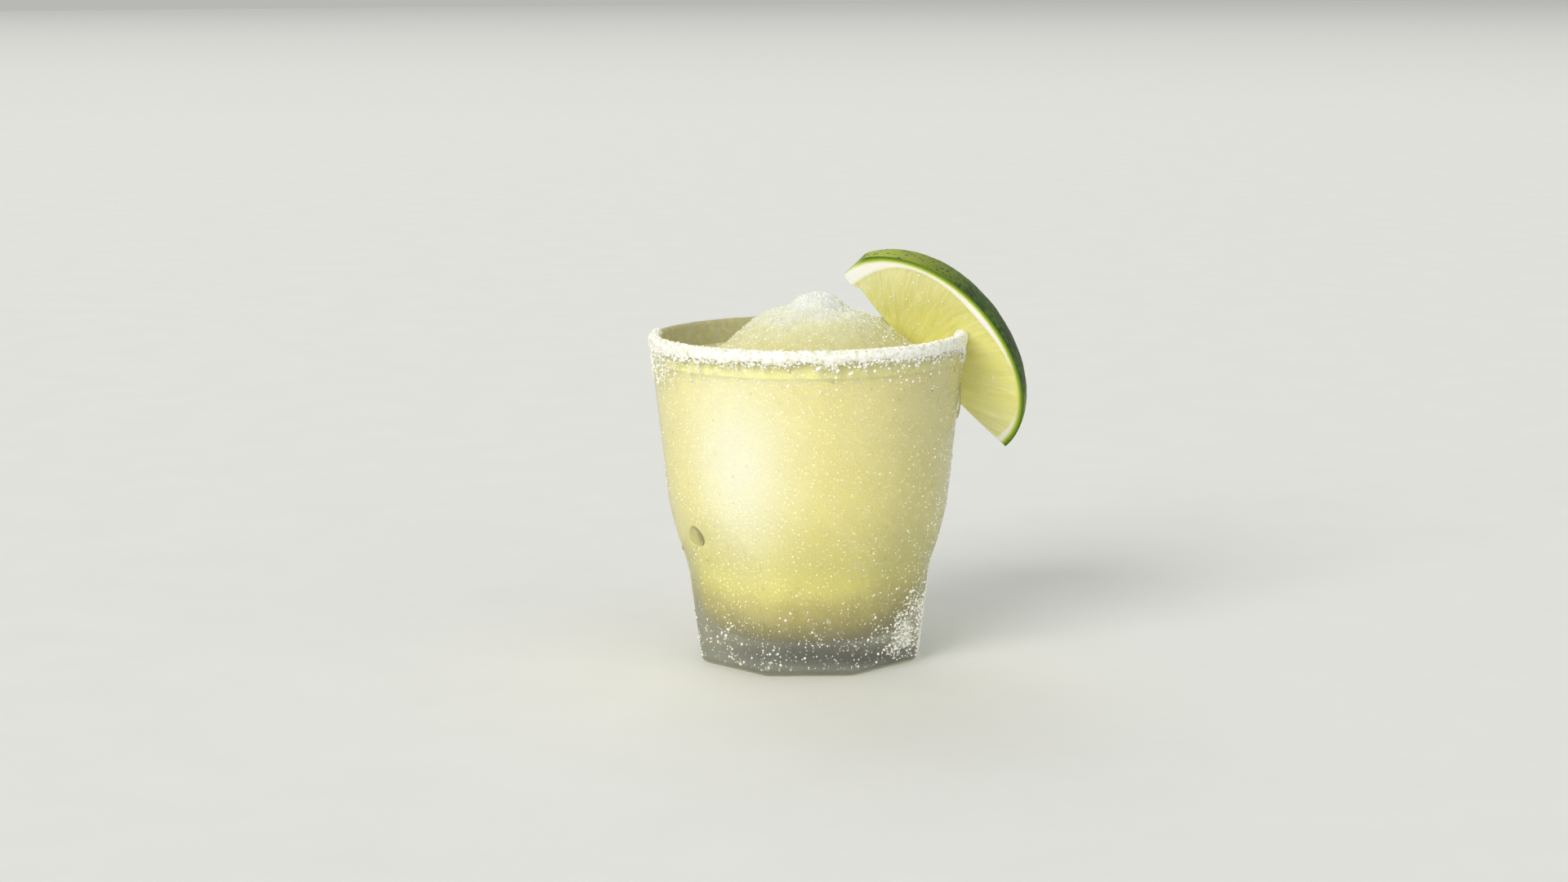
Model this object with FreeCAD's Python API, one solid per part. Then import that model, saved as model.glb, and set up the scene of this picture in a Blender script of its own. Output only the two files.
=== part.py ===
"""A frozen lime drink in its own rocks glass, with a crust of salt on the rim and a wedge of lime.

Millimetres, +Z up. The origin is at the centre of the glass's foot, on the surface that it stands on,
and -Y is the front. Four pieces, each in its own node:

  glass       pressed tumbler: a round taper above, eight flat panels with arched tops below, a thick
              flat base and a rounded lip
  slush       the drink, filling the glass to a line below the rim, with a mound and a peak in the middle
  salt_crust  the crust that sits over the front of the lip, round to the lime
  lime_wedge  a wedge of a lime cut lengthwise, slit from its inner edge and hung on the rim
"""
import FreeCAD, Part
import math
import os
from FreeCAD import Placement, Rotation, Vector

# --- glass -----------------------------------------------------------------------------------------
GLASS_HEIGHT = 92.4
RIM_RADIUS = 44.6          # outside of the lip
SHOULDER_HEIGHT = 45.0     # where the round taper starts, above the panels
SHOULDER_RADIUS = 39.7
PANEL_COUNT = 8
FOOT_APOTHEM = 30.4        # centre to a panel's flat, at the foot
PANEL_TOP_HEIGHT = 28.5    # where a panel starts to lean out to the shoulder
PANEL_TOP_APOTHEM = 33.9
CORNER_TRIM = 0.7          # how much is rounded off each of the foot's corners
FOOT_ROUND = 2.0           # radius of the edge that the glass stands on
PANEL_BEND = 40.0          # radius of the hollow bend at the top of a panel
SHOULDER_BEND = 30.0       # radius of the bend from the panel into the round taper
CROWN_DEPTH = 0.12         # how far under the taper that bend's corner lies
CROWN_LEAN = 0.117         # how much more than the taper the panel leans as it runs out
RIM_WALL = 2.4             # wall at the rim
LIP_ROUNDING = 0.48        # radius of the lip's two corners, as a share of that wall
SHOULDER_WALL = 3.1        # wall at the shoulder
PANEL_WALL = 4.0           # wall at the top of the panels, from the flat
CAVITY_FOOT_WALL = 5.2     # wall beside the bottom of the cavity, from the flat
BASE_THICKNESS = 8.0
CAVITY_FLOOR_ROUND = 10.0
CAVITY_PANEL_BEND = 30.0
CAVITY_SHOULDER_BEND = 40.0

# --- slush -----------------------------------------------------------------------------------------
FILL_DROP = 7.2            # the drink at the wall, below the rim
MOUND_SHIFT = 2.8          # the mound's middle, to the right of the glass's
MOUND_HEIGHT = 13.8        # above the fill line
MOUND_RADIUS = 25.2
MOUND_SQUARENESS = 4.4     # how flat the mound's top and how steep its sides are
PEAK_HEIGHT = 6.0          # above the mound
PEAK_RADIUS = 6.6
PEAK_SQUARENESS = 3.0
PEAK_LIMIT = 11.3          # the peak is rounded off below this height above the rim
PEAK_ROUNDING = 0.35
LUMP_HEIGHT = 0.4          # the uneven surface of the mound
SURFACE_STEP = 1.6         # spacing of the points that the mound's surface goes through

# --- salt ------------------------------------------------------------------------------------------
SALT_START = 168.0         # degrees round from +X, at the back left
SALT_END = 379.0           # just past +X, under the lime
SALT_TOP = 1.3             # thickness above the lip
SALT_OUTER = 0.8           # and on the outside of the wall
SALT_INNER = 0.5           # and on its inside
SALT_EDGE = 0.3            # thickness left at the crust's lower edges
SALT_SKIRT = 3.6           # how far it reaches down the outside
SALT_INNER_SKIRT = 2.0     # and down the inside

# --- lime ------------------------------------------------------------------------------------------
LIME_RADIUS = 24.8
LIME_STEM_HALF = 33.5      # from the lime's widest section to its stem end
LIME_TIP_HALF = 36.3       # and to its other end
STEM_TRIM = 1.8            # sliced off the stem end
WEDGE_FRONT_ANGLE = 34.0   # front face, from the wedge's upright plane
WEDGE_BACK_ANGLE = 26.0
WEDGE_EDGE_DROP = 1.9      # the two faces would meet this far past the lime's axis
WEDGE_EDGE_FLAT = 0.3      # the core sliced off them there, at the middle of the edge
WEDGE_EDGE_BOW = 1.9       # and how much more is gone at the edge's ends
LIME_TILT = 48.8           # the lime's axis, below the horizontal
LIME_INSET = 12.0          # the lime's widest section, in from the rim
LIME_BACK = 10.0           # and behind it
LIME_DROP = 7.4            # and below the rim
SLIT_GAP = 0.15            # between the slit's sides and the glass


def rounded_path(corners):
    """Edges of a path in the XZ plane through corners of (x, z, radius), with an arc at each inner corner."""
    points = [Vector(x, 0, z) for x, z, _ in corners]
    edges = []
    start = points[0]
    for i in range(1, len(points) - 1):
        radius = corners[i][2]
        here = points[i]
        back = (points[i - 1] - here).normalize()
        ahead = (points[i + 1] - here).normalize()
        if radius <= 0:
            edges.append(Part.makeLine(start, here))
            start = here
            continue
        half = back.getAngle(ahead) / 2
        reach = radius / math.tan(half)
        first = here + back * reach
        last = here + ahead * reach
        middle = (back + ahead).normalize()
        top = here + middle * (radius / math.sin(half) - radius)
        edges.append(Part.makeLine(start, first))
        edges.append(Part.Arc(first, top, last).toShape())
        start = last
    edges.append(Part.makeLine(start, points[-1]))
    return edges


def turned(edges, start_angle=0.0, sweep=360.0):
    """The solid of a closed outline in the XZ plane, turned about Z."""
    face = Part.Face(Part.Wire(edges))
    solid = face.revolve(Vector(0, 0, 0), Vector(0, 0, 1), sweep)
    solid.rotate(Vector(0, 0, 0), Vector(0, 0, 1), start_angle)
    return Part.Solid(solid) if solid.ShapeType == "Shell" else solid


def taper_radius(height):
    """Outside of the glass's round taper, at any height above the shoulder."""
    slope = (RIM_RADIUS - SHOULDER_RADIUS) / (GLASS_HEIGHT - SHOULDER_HEIGHT)
    return SHOULDER_RADIUS + slope * (height - SHOULDER_HEIGHT)


def inner_radius(height):
    """Inside of the glass's wall, at any height above the shoulder."""
    low = SHOULDER_RADIUS - SHOULDER_WALL
    slope = (RIM_RADIUS - RIM_WALL - low) / (GLASS_HEIGHT - SHOULDER_HEIGHT)
    return low + slope * (height - SHOULDER_HEIGHT)


def lip_corners():
    """The lip's two rounded corners, from the outside to the inside."""
    rounding = LIP_ROUNDING * RIM_WALL
    return [(RIM_RADIUS, GLASS_HEIGHT, rounding), (RIM_RADIUS - RIM_WALL, GLASS_HEIGHT, rounding)]


def cavity_corners():
    """The cavity's side from its floor to the rim, as corners for rounded_path."""
    foot_apothem = FOOT_APOTHEM + (PANEL_TOP_APOTHEM - FOOT_APOTHEM) * BASE_THICKNESS / PANEL_TOP_HEIGHT
    return [
        (0, BASE_THICKNESS, 0),
        (foot_apothem - CAVITY_FOOT_WALL, BASE_THICKNESS, CAVITY_FLOOR_ROUND),
        (PANEL_TOP_APOTHEM - PANEL_WALL, PANEL_TOP_HEIGHT, CAVITY_PANEL_BEND),
        (SHOULDER_RADIUS - SHOULDER_WALL, SHOULDER_HEIGHT, CAVITY_SHOULDER_BEND),
        (RIM_RADIUS - RIM_WALL, GLASS_HEIGHT, 0),
    ]


def cavity():
    """The space inside the glass, up to the plane of the rim."""
    side = rounded_path(cavity_corners())
    top = Part.makeLine(Vector(RIM_RADIUS - RIM_WALL, 0, GLASS_HEIGHT), Vector(0, 0, GLASS_HEIGHT))
    axis = Part.makeLine(Vector(0, 0, GLASS_HEIGHT), Vector(0, 0, BASE_THICKNESS))
    return turned(side + [top, axis])


def panel_cutter():
    """What is pressed off the round blank to leave one flat panel with its bend and its foot edge."""
    far = RIM_RADIUS * 1.5
    upper = SHOULDER_HEIGHT * 1.2
    meet_apothem = taper_radius(SHOULDER_HEIGHT) - CROWN_DEPTH
    run_out = upper - SHOULDER_HEIGHT
    upper_apothem = taper_radius(upper) - CROWN_DEPTH + CROWN_LEAN * run_out
    side = rounded_path([
        (FOOT_APOTHEM - 3 * FOOT_ROUND, 0, 0),
        (FOOT_APOTHEM, 0, FOOT_ROUND),
        (PANEL_TOP_APOTHEM, PANEL_TOP_HEIGHT, PANEL_BEND),
        (meet_apothem, SHOULDER_HEIGHT, SHOULDER_BEND),
        (upper_apothem, upper, 0),
    ])
    outline = [side[0].Vertexes[0].Point, side[-1].Vertexes[-1].Point]
    below = -FOOT_ROUND
    outer_corners = [Vector(far, 0, upper), Vector(far, 0, below), Vector(outline[0].x, 0, below)]
    around = [outline[1]] + outer_corners + [outline[0]]
    edges = side + [Part.makeLine(a, b) for a, b in zip(around, around[1:])]
    face = Part.Face(Part.Wire(edges))
    half_width = RIM_RADIUS
    block = face.extrude(Vector(0, 2 * half_width, 0))
    block.translate(Vector(0, -half_width, 0))
    return block


def glass():
    """The tumbler: a turned blank with its cavity and its lip, then the eight panels."""
    corner_radius = FOOT_APOTHEM / math.cos(math.pi / PANEL_COUNT) - CORNER_TRIM
    outside = [
        (0, 0, 0),
        (corner_radius, 0, FOOT_ROUND),
        (SHOULDER_RADIUS, SHOULDER_HEIGHT, SHOULDER_BEND),
    ]
    path = rounded_path(outside + lip_corners() + cavity_corners()[-2::-1])
    axis = Part.makeLine(Vector(0, 0, BASE_THICKNESS), Vector(0, 0, 0))
    body = turned(path + [axis])
    cutter = panel_cutter()
    for i in range(PANEL_COUNT):
        turn = cutter.copy()
        turn.rotate(Vector(0, 0, 0), Vector(0, 0, 1), i * 360.0 / PANEL_COUNT)
        body = body.cut(turn)
    return body


def bell(distance, radius, squareness):
    """1 in the middle, falling to 0 past the radius. A higher squareness has a flatter top."""
    return math.exp(-((distance / radius) ** squareness))


def slush_level(x, y):
    """Height of the drink's surface over a point."""
    dx = x - MOUND_SHIFT
    distance = math.hypot(dx, y)
    angle = math.atan2(y, dx)
    level = GLASS_HEIGHT - FILL_DROP
    mound = MOUND_HEIGHT * bell(distance, MOUND_RADIUS, MOUND_SQUARENESS)
    peak = PEAK_HEIGHT * bell(distance, PEAK_RADIUS, PEAK_SQUARENESS)
    # Low rounded folds wind out from the peak, and fade at the middle and at the wall.
    folds = math.sin(2 * angle + distance / 4.5) + 0.7 * math.sin(3 * angle - distance / 6.0 + 1.0)
    fade = bell(distance - 0.7 * MOUND_RADIUS, 0.5 * MOUND_RADIUS, 4.0)
    height = level + mound + peak + LUMP_HEIGHT * folds * fade
    limit = GLASS_HEIGHT + PEAK_LIMIT
    return limit - PEAK_ROUNDING * math.log(1 + math.exp((limit - height) / PEAK_ROUNDING))


def slush(cavity_solid):
    """The drink: all of the cavity, and of the room above it, that lies under its surface."""
    reach = RIM_RADIUS + SURFACE_STEP
    count = 2 * math.ceil(reach / SURFACE_STEP)
    places = [-reach + 2 * reach * i / count for i in range(count + 1)]
    grid = [[Vector(x, y, slush_level(x, y)) for y in places] for x in places]
    surface = Part.BSplineSurface()
    surface.interpolate(grid)
    above = surface.toShape().extrude(Vector(0, 0, GLASS_HEIGHT))
    tall = cavity_solid.fuse(chimney()).removeSplitter()
    return tall.cut(above)


def chimney():
    """A cylinder on top of the cavity, as wide as its mouth, for the part of the mound above the rim."""
    room = PEAK_LIMIT + LUMP_HEIGHT
    return Part.makeCylinder(RIM_RADIUS - RIM_WALL, room, Vector(0, 0, GLASS_HEIGHT))


def salt_crust(wedge):
    """The crust: a band turned over the lip, less what the lime pushes away."""
    foot = GLASS_HEIGHT - SALT_SKIRT
    inner_foot = GLASS_HEIGHT - SALT_INNER_SKIRT
    top = GLASS_HEIGHT + SALT_TOP
    outer = RIM_RADIUS + SALT_OUTER
    inner = RIM_RADIUS - RIM_WALL - SALT_INNER
    over = rounded_path([
        (taper_radius(foot), foot, 0),
        (taper_radius(foot) + SALT_EDGE, foot, 0),
        (outer, GLASS_HEIGHT - SALT_SKIRT / 2, SALT_SKIRT / 4),
        (outer, top, SALT_TOP),
        (inner, top, SALT_TOP),
        (inner, GLASS_HEIGHT - SALT_INNER_SKIRT / 2, SALT_INNER_SKIRT / 4),
        (inner_radius(inner_foot) - SALT_EDGE, inner_foot, 0),
        (inner_radius(inner_foot), inner_foot, 0),
    ])
    ends = [(inner_radius(inner_foot), inner_foot, 0), (taper_radius(foot), foot, 0)]
    under = rounded_path(ends[:1] + lip_corners()[::-1] + ends[1:])
    band = turned(over + under, SALT_START, SALT_END - SALT_START)
    return max(band.cut(wedge).Solids, key=lambda solid: solid.Volume)


def lime_body():
    """The whole lime about the X axis, widest at the origin, with its stem end at -X sliced off."""
    widest = Vector(0, LIME_RADIUS, 0)
    stem_cut = -(LIME_STEM_HALF - STEM_TRIM)
    stem_curve = Part.Ellipse(Vector(-LIME_STEM_HALF, 0, 0), widest, Vector(0, 0, 0))
    tip_curve = Part.Ellipse(Vector(LIME_TIP_HALF, 0, 0), widest, Vector(0, 0, 0))
    stem_height = LIME_RADIUS * math.sqrt(1 - (stem_cut / LIME_STEM_HALF) ** 2)
    stem_point = Vector(stem_cut, stem_height, 0)
    stem_turn, widest_turn = stem_curve.parameter(stem_point), stem_curve.parameter(widest)
    stem_arc = Part.ArcOfEllipse(stem_curve, *sorted((stem_turn, widest_turn)))
    tip = Vector(LIME_TIP_HALF, 0, 0)
    tip_arc = Part.ArcOfEllipse(tip_curve, *sorted((tip_curve.parameter(tip), tip_curve.parameter(widest))))
    base = Vector(stem_cut, 0, 0)
    edges = [
        Part.makeLine(base, stem_point),
        stem_arc.toShape(),
        tip_arc.toShape(),
        Part.makeLine(tip, base),
    ]
    face = Part.Face(Part.Wire(Part.__sortEdges__(edges)))
    return face.revolve(Vector(0, 0, 0), Vector(1, 0, 0), 360)


def whole_wedge():
    """The wedge in its place, before its slit is cut."""
    reach = 3 * LIME_RADIUS
    front = math.radians(WEDGE_FRONT_ANGLE)
    back = math.radians(WEDGE_BACK_ANGLE)
    edge = Vector(-reach, -WEDGE_EDGE_DROP, 0)
    corners = [
        edge,
        edge + Vector(0, reach * math.cos(front), reach * math.sin(front)),
        edge + Vector(0, reach * math.cos(back), -reach * math.sin(back)),
    ]
    prism = Part.Face(Part.makePolygon(corners + corners[:1])).extrude(Vector(2 * reach, 0, 0))
    bow_radius = LIME_STEM_HALF ** 2 / (2 * WEDGE_EDGE_BOW)
    bow_middle = bow_radius - WEDGE_EDGE_DROP + WEDGE_EDGE_FLAT
    bow = Part.makeCylinder(bow_radius, 2 * reach, Vector(0, bow_middle, -reach))
    wedge = lime_body().common(prism).common(bow)
    tilt = math.radians(LIME_TILT)
    along = Vector(math.cos(tilt), 0, -math.sin(tilt))
    outward = Vector(math.sin(tilt), 0, math.cos(tilt))
    turn = Rotation(along, outward, Vector(0, -1, 0), "XYZ")
    middle = Vector(RIM_RADIUS - LIME_INSET, LIME_BACK, GLASS_HEIGHT - LIME_DROP)
    wedge.Placement = Placement(middle, turn)
    return wedge


def slit_cutter():
    """The rim's wall with a gap on both sides, from far below the lime to the top of the lip."""
    outer_low = SHOULDER_RADIUS + SLIT_GAP
    inner_low = SHOULDER_RADIUS - SHOULDER_WALL - SLIT_GAP
    corners = [
        Vector(inner_low, 0, SHOULDER_HEIGHT),
        Vector(outer_low, 0, SHOULDER_HEIGHT),
        Vector(RIM_RADIUS + SLIT_GAP, 0, GLASS_HEIGHT),
        Vector(RIM_RADIUS - RIM_WALL - SLIT_GAP, 0, GLASS_HEIGHT),
    ]
    outline = corners + corners[:1]
    return turned([Part.makeLine(a, b) for a, b in zip(outline, outline[1:])])


def export(name, shape):
    """Writes one node's STEP file and says what it holds."""
    solids = shape.Solids
    assert solids, f"{name} has no solid"
    solid = solids[0] if len(solids) == 1 else Part.makeCompound(solids)
    assert solid.isValid(), f"{name} isn't valid"
    solid.exportStep(f"parts/{name}.step")
    box = solid.BoundBox
    print(f"{name}: {len(solids)} solid, {solid.Volume / 1000:.2f} cm3, z {box.ZMin:.2f} to {box.ZMax:.2f}")


def main():
    os.makedirs("parts", exist_ok=True)
    glass_solid = glass()
    wedge = whole_wedge()
    lime = wedge.cut(slit_cutter())
    drink = slush(cavity()).cut(wedge)
    crust = salt_crust(wedge)
    export("glass", glass_solid)
    export("slush", drink)
    export("salt_crust", crust)
    export("lime_wedge", lime)


main()
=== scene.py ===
# %% [markdown]
# # A frozen lime drink in a frosted glass
# A cold glass of lime slush has four things to get right: the glass and the water that condenses on it,
# the icy drink with its mound, the crust of salt on the lip, and the wedge of lime that hangs there.
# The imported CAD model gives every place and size. Each piece here is made in the same frame, in metres,
# so it goes where its CAD node is, with nothing to fit by eye.

# %% The frame
import math
import bpy
import numpy as np
from mathutils import Matrix, Vector, noise


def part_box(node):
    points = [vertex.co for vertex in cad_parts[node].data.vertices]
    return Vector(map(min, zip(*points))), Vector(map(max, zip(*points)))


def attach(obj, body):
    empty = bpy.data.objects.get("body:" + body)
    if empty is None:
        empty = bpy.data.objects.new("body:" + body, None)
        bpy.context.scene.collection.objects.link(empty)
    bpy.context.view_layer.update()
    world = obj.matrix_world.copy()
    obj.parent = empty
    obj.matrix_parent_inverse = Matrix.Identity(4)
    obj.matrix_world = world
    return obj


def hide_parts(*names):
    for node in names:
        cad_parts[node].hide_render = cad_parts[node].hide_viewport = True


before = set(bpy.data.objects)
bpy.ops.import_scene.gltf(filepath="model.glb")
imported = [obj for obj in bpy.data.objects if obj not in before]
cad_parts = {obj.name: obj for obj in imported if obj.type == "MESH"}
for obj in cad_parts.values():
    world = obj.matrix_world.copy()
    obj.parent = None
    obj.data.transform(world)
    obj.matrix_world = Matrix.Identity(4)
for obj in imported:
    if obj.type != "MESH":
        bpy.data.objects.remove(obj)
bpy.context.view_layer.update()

MM = 0.001
FULL_TURN = 2 * math.pi
RIM_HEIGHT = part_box("glass")[1][2] / MM
print("nodes", sorted(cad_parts), "rim height", round(RIM_HEIGHT, 2), "mm")

# %% [markdown]
# ## Meshes made of rings
# The glass, the drink and the lime all have a shape that follows a rule: go along a line, and at each
# stop there is a closed ring. So they share one helper, which joins ring after ring with four-sided faces
# and closes both ends with a point. It measures the volume that it has made. A negative one means that
# the faces point inwards, and then it turns them round.

# %% Helpers for ring meshes
def volume_of(points, quads, tris):
    """Volume inside a closed mesh, positive when its faces point outwards."""
    corners = np.concatenate([quads[:, [0, 1, 2]], quads[:, [0, 2, 3]], tris])
    a, b, c = (points[corners[:, i]] for i in range(3))
    return float(np.einsum("ij,ij->i", a, np.cross(b, c)).sum() / 6)


def ring_mesh(name, start, rings, end, attributes=None):
    """A closed object from rings of points in millimetres, with one more point at each end."""
    stops, count = rings.shape[:2]
    points = np.vstack([[start], rings.reshape(-1, 3), [end]])
    here = 1 + np.arange(stops * count).reshape(stops, count)
    beside = np.roll(here, -1, axis=1)
    quads = np.stack([here[:-1], beside[:-1], beside[1:], here[1:]], axis=-1).reshape(-1, 4)
    last = len(points) - 1
    first_fan = np.stack([np.zeros(count, int), beside[0], here[0]], axis=-1)
    last_fan = np.stack([here[-1], beside[-1], np.full(count, last)], axis=-1)
    tris = np.vstack([first_fan, last_fan])
    volume = volume_of(points, quads, tris)
    if volume < 0:
        quads, tris = quads[:, ::-1], tris[:, ::-1]
    mesh = bpy.data.meshes.new(name)
    mesh.from_pydata((points * MM).tolist(), [], quads.tolist() + tris.tolist())
    mesh.polygons.foreach_set("use_smooth", [True] * len(mesh.polygons))
    for key, values in (attributes or {}).items():
        layer = mesh.attributes.new(key, "FLOAT", "POINT")
        layer.data.foreach_set("value", np.asarray(values, dtype=np.float32))
    piece = bpy.data.objects.new(name, mesh)
    bpy.context.scene.collection.objects.link(piece)
    print(f"{name}: {2 * len(quads) + len(tris)} triangles, {abs(volume) / 1000:.1f} cm3")
    return piece


def wobble(points, size, seed):
    """Smooth noise from about -1 to 1 at each point in millimetres. size is the width of its lumps."""
    shift = Vector((seed * 17.3, seed * 5.1, seed * 29.7))
    scale = 1.0 / size
    flat = np.asarray(points).reshape(-1, 3)
    values = [noise.noise(Vector(p) * scale + shift) for p in flat.tolist()]
    return np.array(values).reshape(np.asarray(points).shape[:-1])


def finish_piece(piece, material, slot, *nodes):
    """Gives a piece its material and body, and hides the CAD nodes that it stands for. The slot is not used.
    """
    piece.data.materials.clear()
    piece.data.materials.append(material)
    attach(piece, "root")
    if nodes:
        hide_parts(*nodes)
    return piece

# %% [markdown]
# ## Shader groups
# Four effects turn up on more than one surface, so each is a node group with named inputs: a mottle that
# makes a colour uneven, fine grain for a bump, scattered specks, and a value that changes with height. The
# sizes are millimetres. A group only gives out values. The Principled shader stays in each material.

# %% Building node groups and materials
def new_group(name, inputs, outputs):
    """An empty shader group. inputs and outputs map a name to (socket kind, starting value)."""
    tree = bpy.data.node_groups.new(name, "ShaderNodeTree")
    for label, (kind, value) in inputs.items():
        socket = tree.interface.new_socket(name=label, in_out="INPUT", socket_type="NodeSocket" + kind)
        if value is not None:
            socket.default_value = value
    for label, kind in outputs.items():
        tree.interface.new_socket(name=label, in_out="OUTPUT", socket_type="NodeSocket" + kind)
    return tree, tree.nodes.new("NodeGroupInput"), tree.nodes.new("NodeGroupOutput")


def add(tree, kind, settings=None, **links):
    """A new node. settings are its own options. links gives each input a socket or a plain value.

    An input goes by its name, with _ for a space, or as i0, i1 and so on by its number.
    """
    node = tree.nodes.new(kind)
    for key, value in (settings or {}).items():
        setattr(node, key, value)
    for key, value in links.items():
        by_number = key[0] == "i" and key[1:].isdigit()
        spot = node.inputs[int(key[1:])] if by_number else node.inputs[key.replace("_", " ")]
        if isinstance(value, bpy.types.NodeSocket):
            tree.links.new(value, spot)
        else:
            spot.default_value = value
    return node


def add_ramp(tree, value, stops):
    """A colour ramp over value, with stops of (place, colour)."""
    node = add(tree, "ShaderNodeValToRGB", i0=value)
    band = node.color_ramp
    while len(band.elements) < len(stops):
        band.elements.new(0.5)
    for element, (place, colour) in zip(band.elements, stops):
        element.position = place
        element.color = (*colour, 1.0) if len(colour) == 3 else colour
    return node.outputs["Color"]


def add_blend(tree, share, first, second):
    """Mixes two colours, or the results of two sockets."""
    node = add(tree, "ShaderNodeMix", {"data_type": "RGBA"}, i0=share)
    for spot, value in ((node.inputs[6], first), (node.inputs[7], second)):
        if isinstance(value, bpy.types.NodeSocket):
            tree.links.new(value, spot)
        else:
            spot.default_value = (*value, 1.0)
    return node.outputs[2]


def add_map(tree, value, low, high, start=0.0, end=1.0):
    """Maps value from the range low..high to start..end, and holds it there beyond."""
    node = add(tree, "ShaderNodeMapRange", None, Value=value, From_Min=low, From_Max=high,
               To_Min=start, To_Max=end)
    return node.outputs["Result"]


def add_math(tree, operation, first, second=0.0):
    """One sum on two values."""
    return add(tree, "ShaderNodeMath", {"operation": operation}, i0=first, i1=second).outputs[0]


def srgb(red, green, blue):
    """A colour given as on a colour card, 0 to 255, as the linear values that shaders use."""
    shares = [c / 255 for c in (red, green, blue)]
    return tuple(c / 12.92 if c <= 10 / 255 else ((c + 0.055) / 1.055) ** 2.4 for c in shares)

# %% [markdown]
# Four patterns come back in many materials, so each is a group: soft clouds, small domes, sparse specks,
# and how far a place has come between two heights.

# %% The four shader groups
mottle_tree, given, result = new_group(
    "mottle", {"Size": ("Float", 4.0), "Seed": ("Float", 0.0), "Detail": ("Float", 2.0)}, {"Value": "Float"})
place = add(mottle_tree, "ShaderNodeTexCoord").outputs["Object"]
frequency = add_math(mottle_tree, "DIVIDE", 1 / MM, given.outputs["Size"])
cloud = add(mottle_tree, "ShaderNodeTexNoise", {"noise_dimensions": "4D"}, Vector=place,
            W=given.outputs["Seed"], Scale=frequency, Detail=given.outputs["Detail"])
mottle_tree.links.new(cloud.outputs[0], result.inputs["Value"])

grain_tree, given, result = new_group(
    "fine grain", {"Size": ("Float", 0.5), "Stretch": ("Float", 1.0)}, {"Height": "Float"})
place = add(grain_tree, "ShaderNodeTexCoord").outputs["Object"]
frequency = add_math(grain_tree, "DIVIDE", 1 / MM, given.outputs["Size"])
cells = add(grain_tree, "ShaderNodeTexVoronoi", {"feature": "F1"}, Vector=place, Scale=frequency)
domes = add_map(grain_tree, cells.outputs["Distance"], 0.0, 0.7, 1.0, 0.0)
sharp = add_math(grain_tree, "POWER", domes, given.outputs["Stretch"])
grain_tree.links.new(sharp, result.inputs["Height"])

speck_tree, given, result = new_group(
    "specks", {"Size": ("Float", 0.6), "Share": ("Float", 0.2)}, {"Mask": "Float"})
place = add(speck_tree, "ShaderNodeTexCoord").outputs["Object"]
frequency = add_math(speck_tree, "DIVIDE", 1 / MM, given.outputs["Size"])
cells = add(speck_tree, "ShaderNodeTexVoronoi", {"feature": "F1"}, Vector=place, Scale=frequency)
inside = add_map(speck_tree, cells.outputs["Distance"], 0.38, 0.22)
chance = add(speck_tree, "ShaderNodeSeparateColor", None, Color=cells.outputs["Color"]).outputs[0]
chosen = add_math(speck_tree, "LESS_THAN", chance, given.outputs["Share"])
speck_tree.links.new(add_math(speck_tree, "MULTIPLY", inside, chosen), result.inputs["Mask"])

height_tree, given, result = new_group(
    "height share", {"Low": ("Float", 0.0), "High": ("Float", 1.0), "Waver": ("Float", 0.0)},
    {"Value": "Float"})
place = add(height_tree, "ShaderNodeTexCoord").outputs["Object"]
level = add(height_tree, "ShaderNodeSeparateXYZ", None, Vector=place).outputs["Z"]
cloud = add(height_tree, "ShaderNodeTexNoise", None, Vector=place, Scale=140.0, Detail=2.0)
swing = add_math(height_tree, "SUBTRACT", cloud.outputs[0], 0.5)
shift = add_math(height_tree, "MULTIPLY", swing, given.outputs["Waver"])
level = add_math(height_tree, "ADD", add_math(height_tree, "DIVIDE", level, MM), shift)
share = add_map(height_tree, level, given.outputs["Low"], given.outputs["High"])
height_tree.links.new(share, result.inputs["Value"])


def place_group(tree, group, **values):
    """A group node in a material, with its inputs set."""
    node = tree.nodes.new("ShaderNodeGroup")
    node.node_tree = group
    for key, value in values.items():
        node.inputs[key].default_value = value
    return node.outputs[0]


def new_material(name, settings):
    """A material with one Principled shader, and the sockets in settings set on it."""
    material = bpy.data.materials.new(name)
    material.use_nodes = True
    tree = material.node_tree
    shader = tree.nodes["Principled BSDF"]
    for key, value in settings.items():
        shader.inputs[key].default_value = value
    return material, tree, shader


def bump(tree, shader, height, distance_mm, strength=1.0):
    """Feeds a height to the shader's normal, as relief of that depth."""
    node = add(tree, "ShaderNodeBump", None, Height=height, Distance=distance_mm * MM, Strength=strength)
    tree.links.new(node.outputs[0], shader.inputs["Normal"])


def lets_light_in(tree, shader, tint):
    """Light reaches what is behind clear stuff: to a shadow ray the surface is plain tinted transparency."""
    path = add(tree, "ShaderNodeLightPath")
    clear = add(tree, "ShaderNodeBsdfTransparent", None, Color=(*tint, 1.0))
    both = add(tree, "ShaderNodeMixShader", None, i0=path.outputs["Is Shadow Ray"])
    tree.links.new(shader.outputs[0], both.inputs[1])
    tree.links.new(clear.outputs[0], both.inputs[2])
    tree.links.new(both.outputs[0], tree.nodes["Material Output"].inputs["Surface"])


print("groups", [group.name for group in bpy.data.node_groups])

# %% [markdown]
# ## The glass
# It is a pressed tumbler. Its upper half is round and widens to the lip. Eight flat panels are pressed
# into the lower half, and each ends in an arch where it runs out through the round taper. In CAD the
# panels meet at sharp edges. Pressed glass has soft ones, so here every ring of the outside is worked out
# as the smooth minimum of a circle and an eight-sided ring whose corners are rounded. That gives soft ribs
# and soft arches with no bevels to tune. The cavity is turned, with thick walls at the foot.

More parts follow.
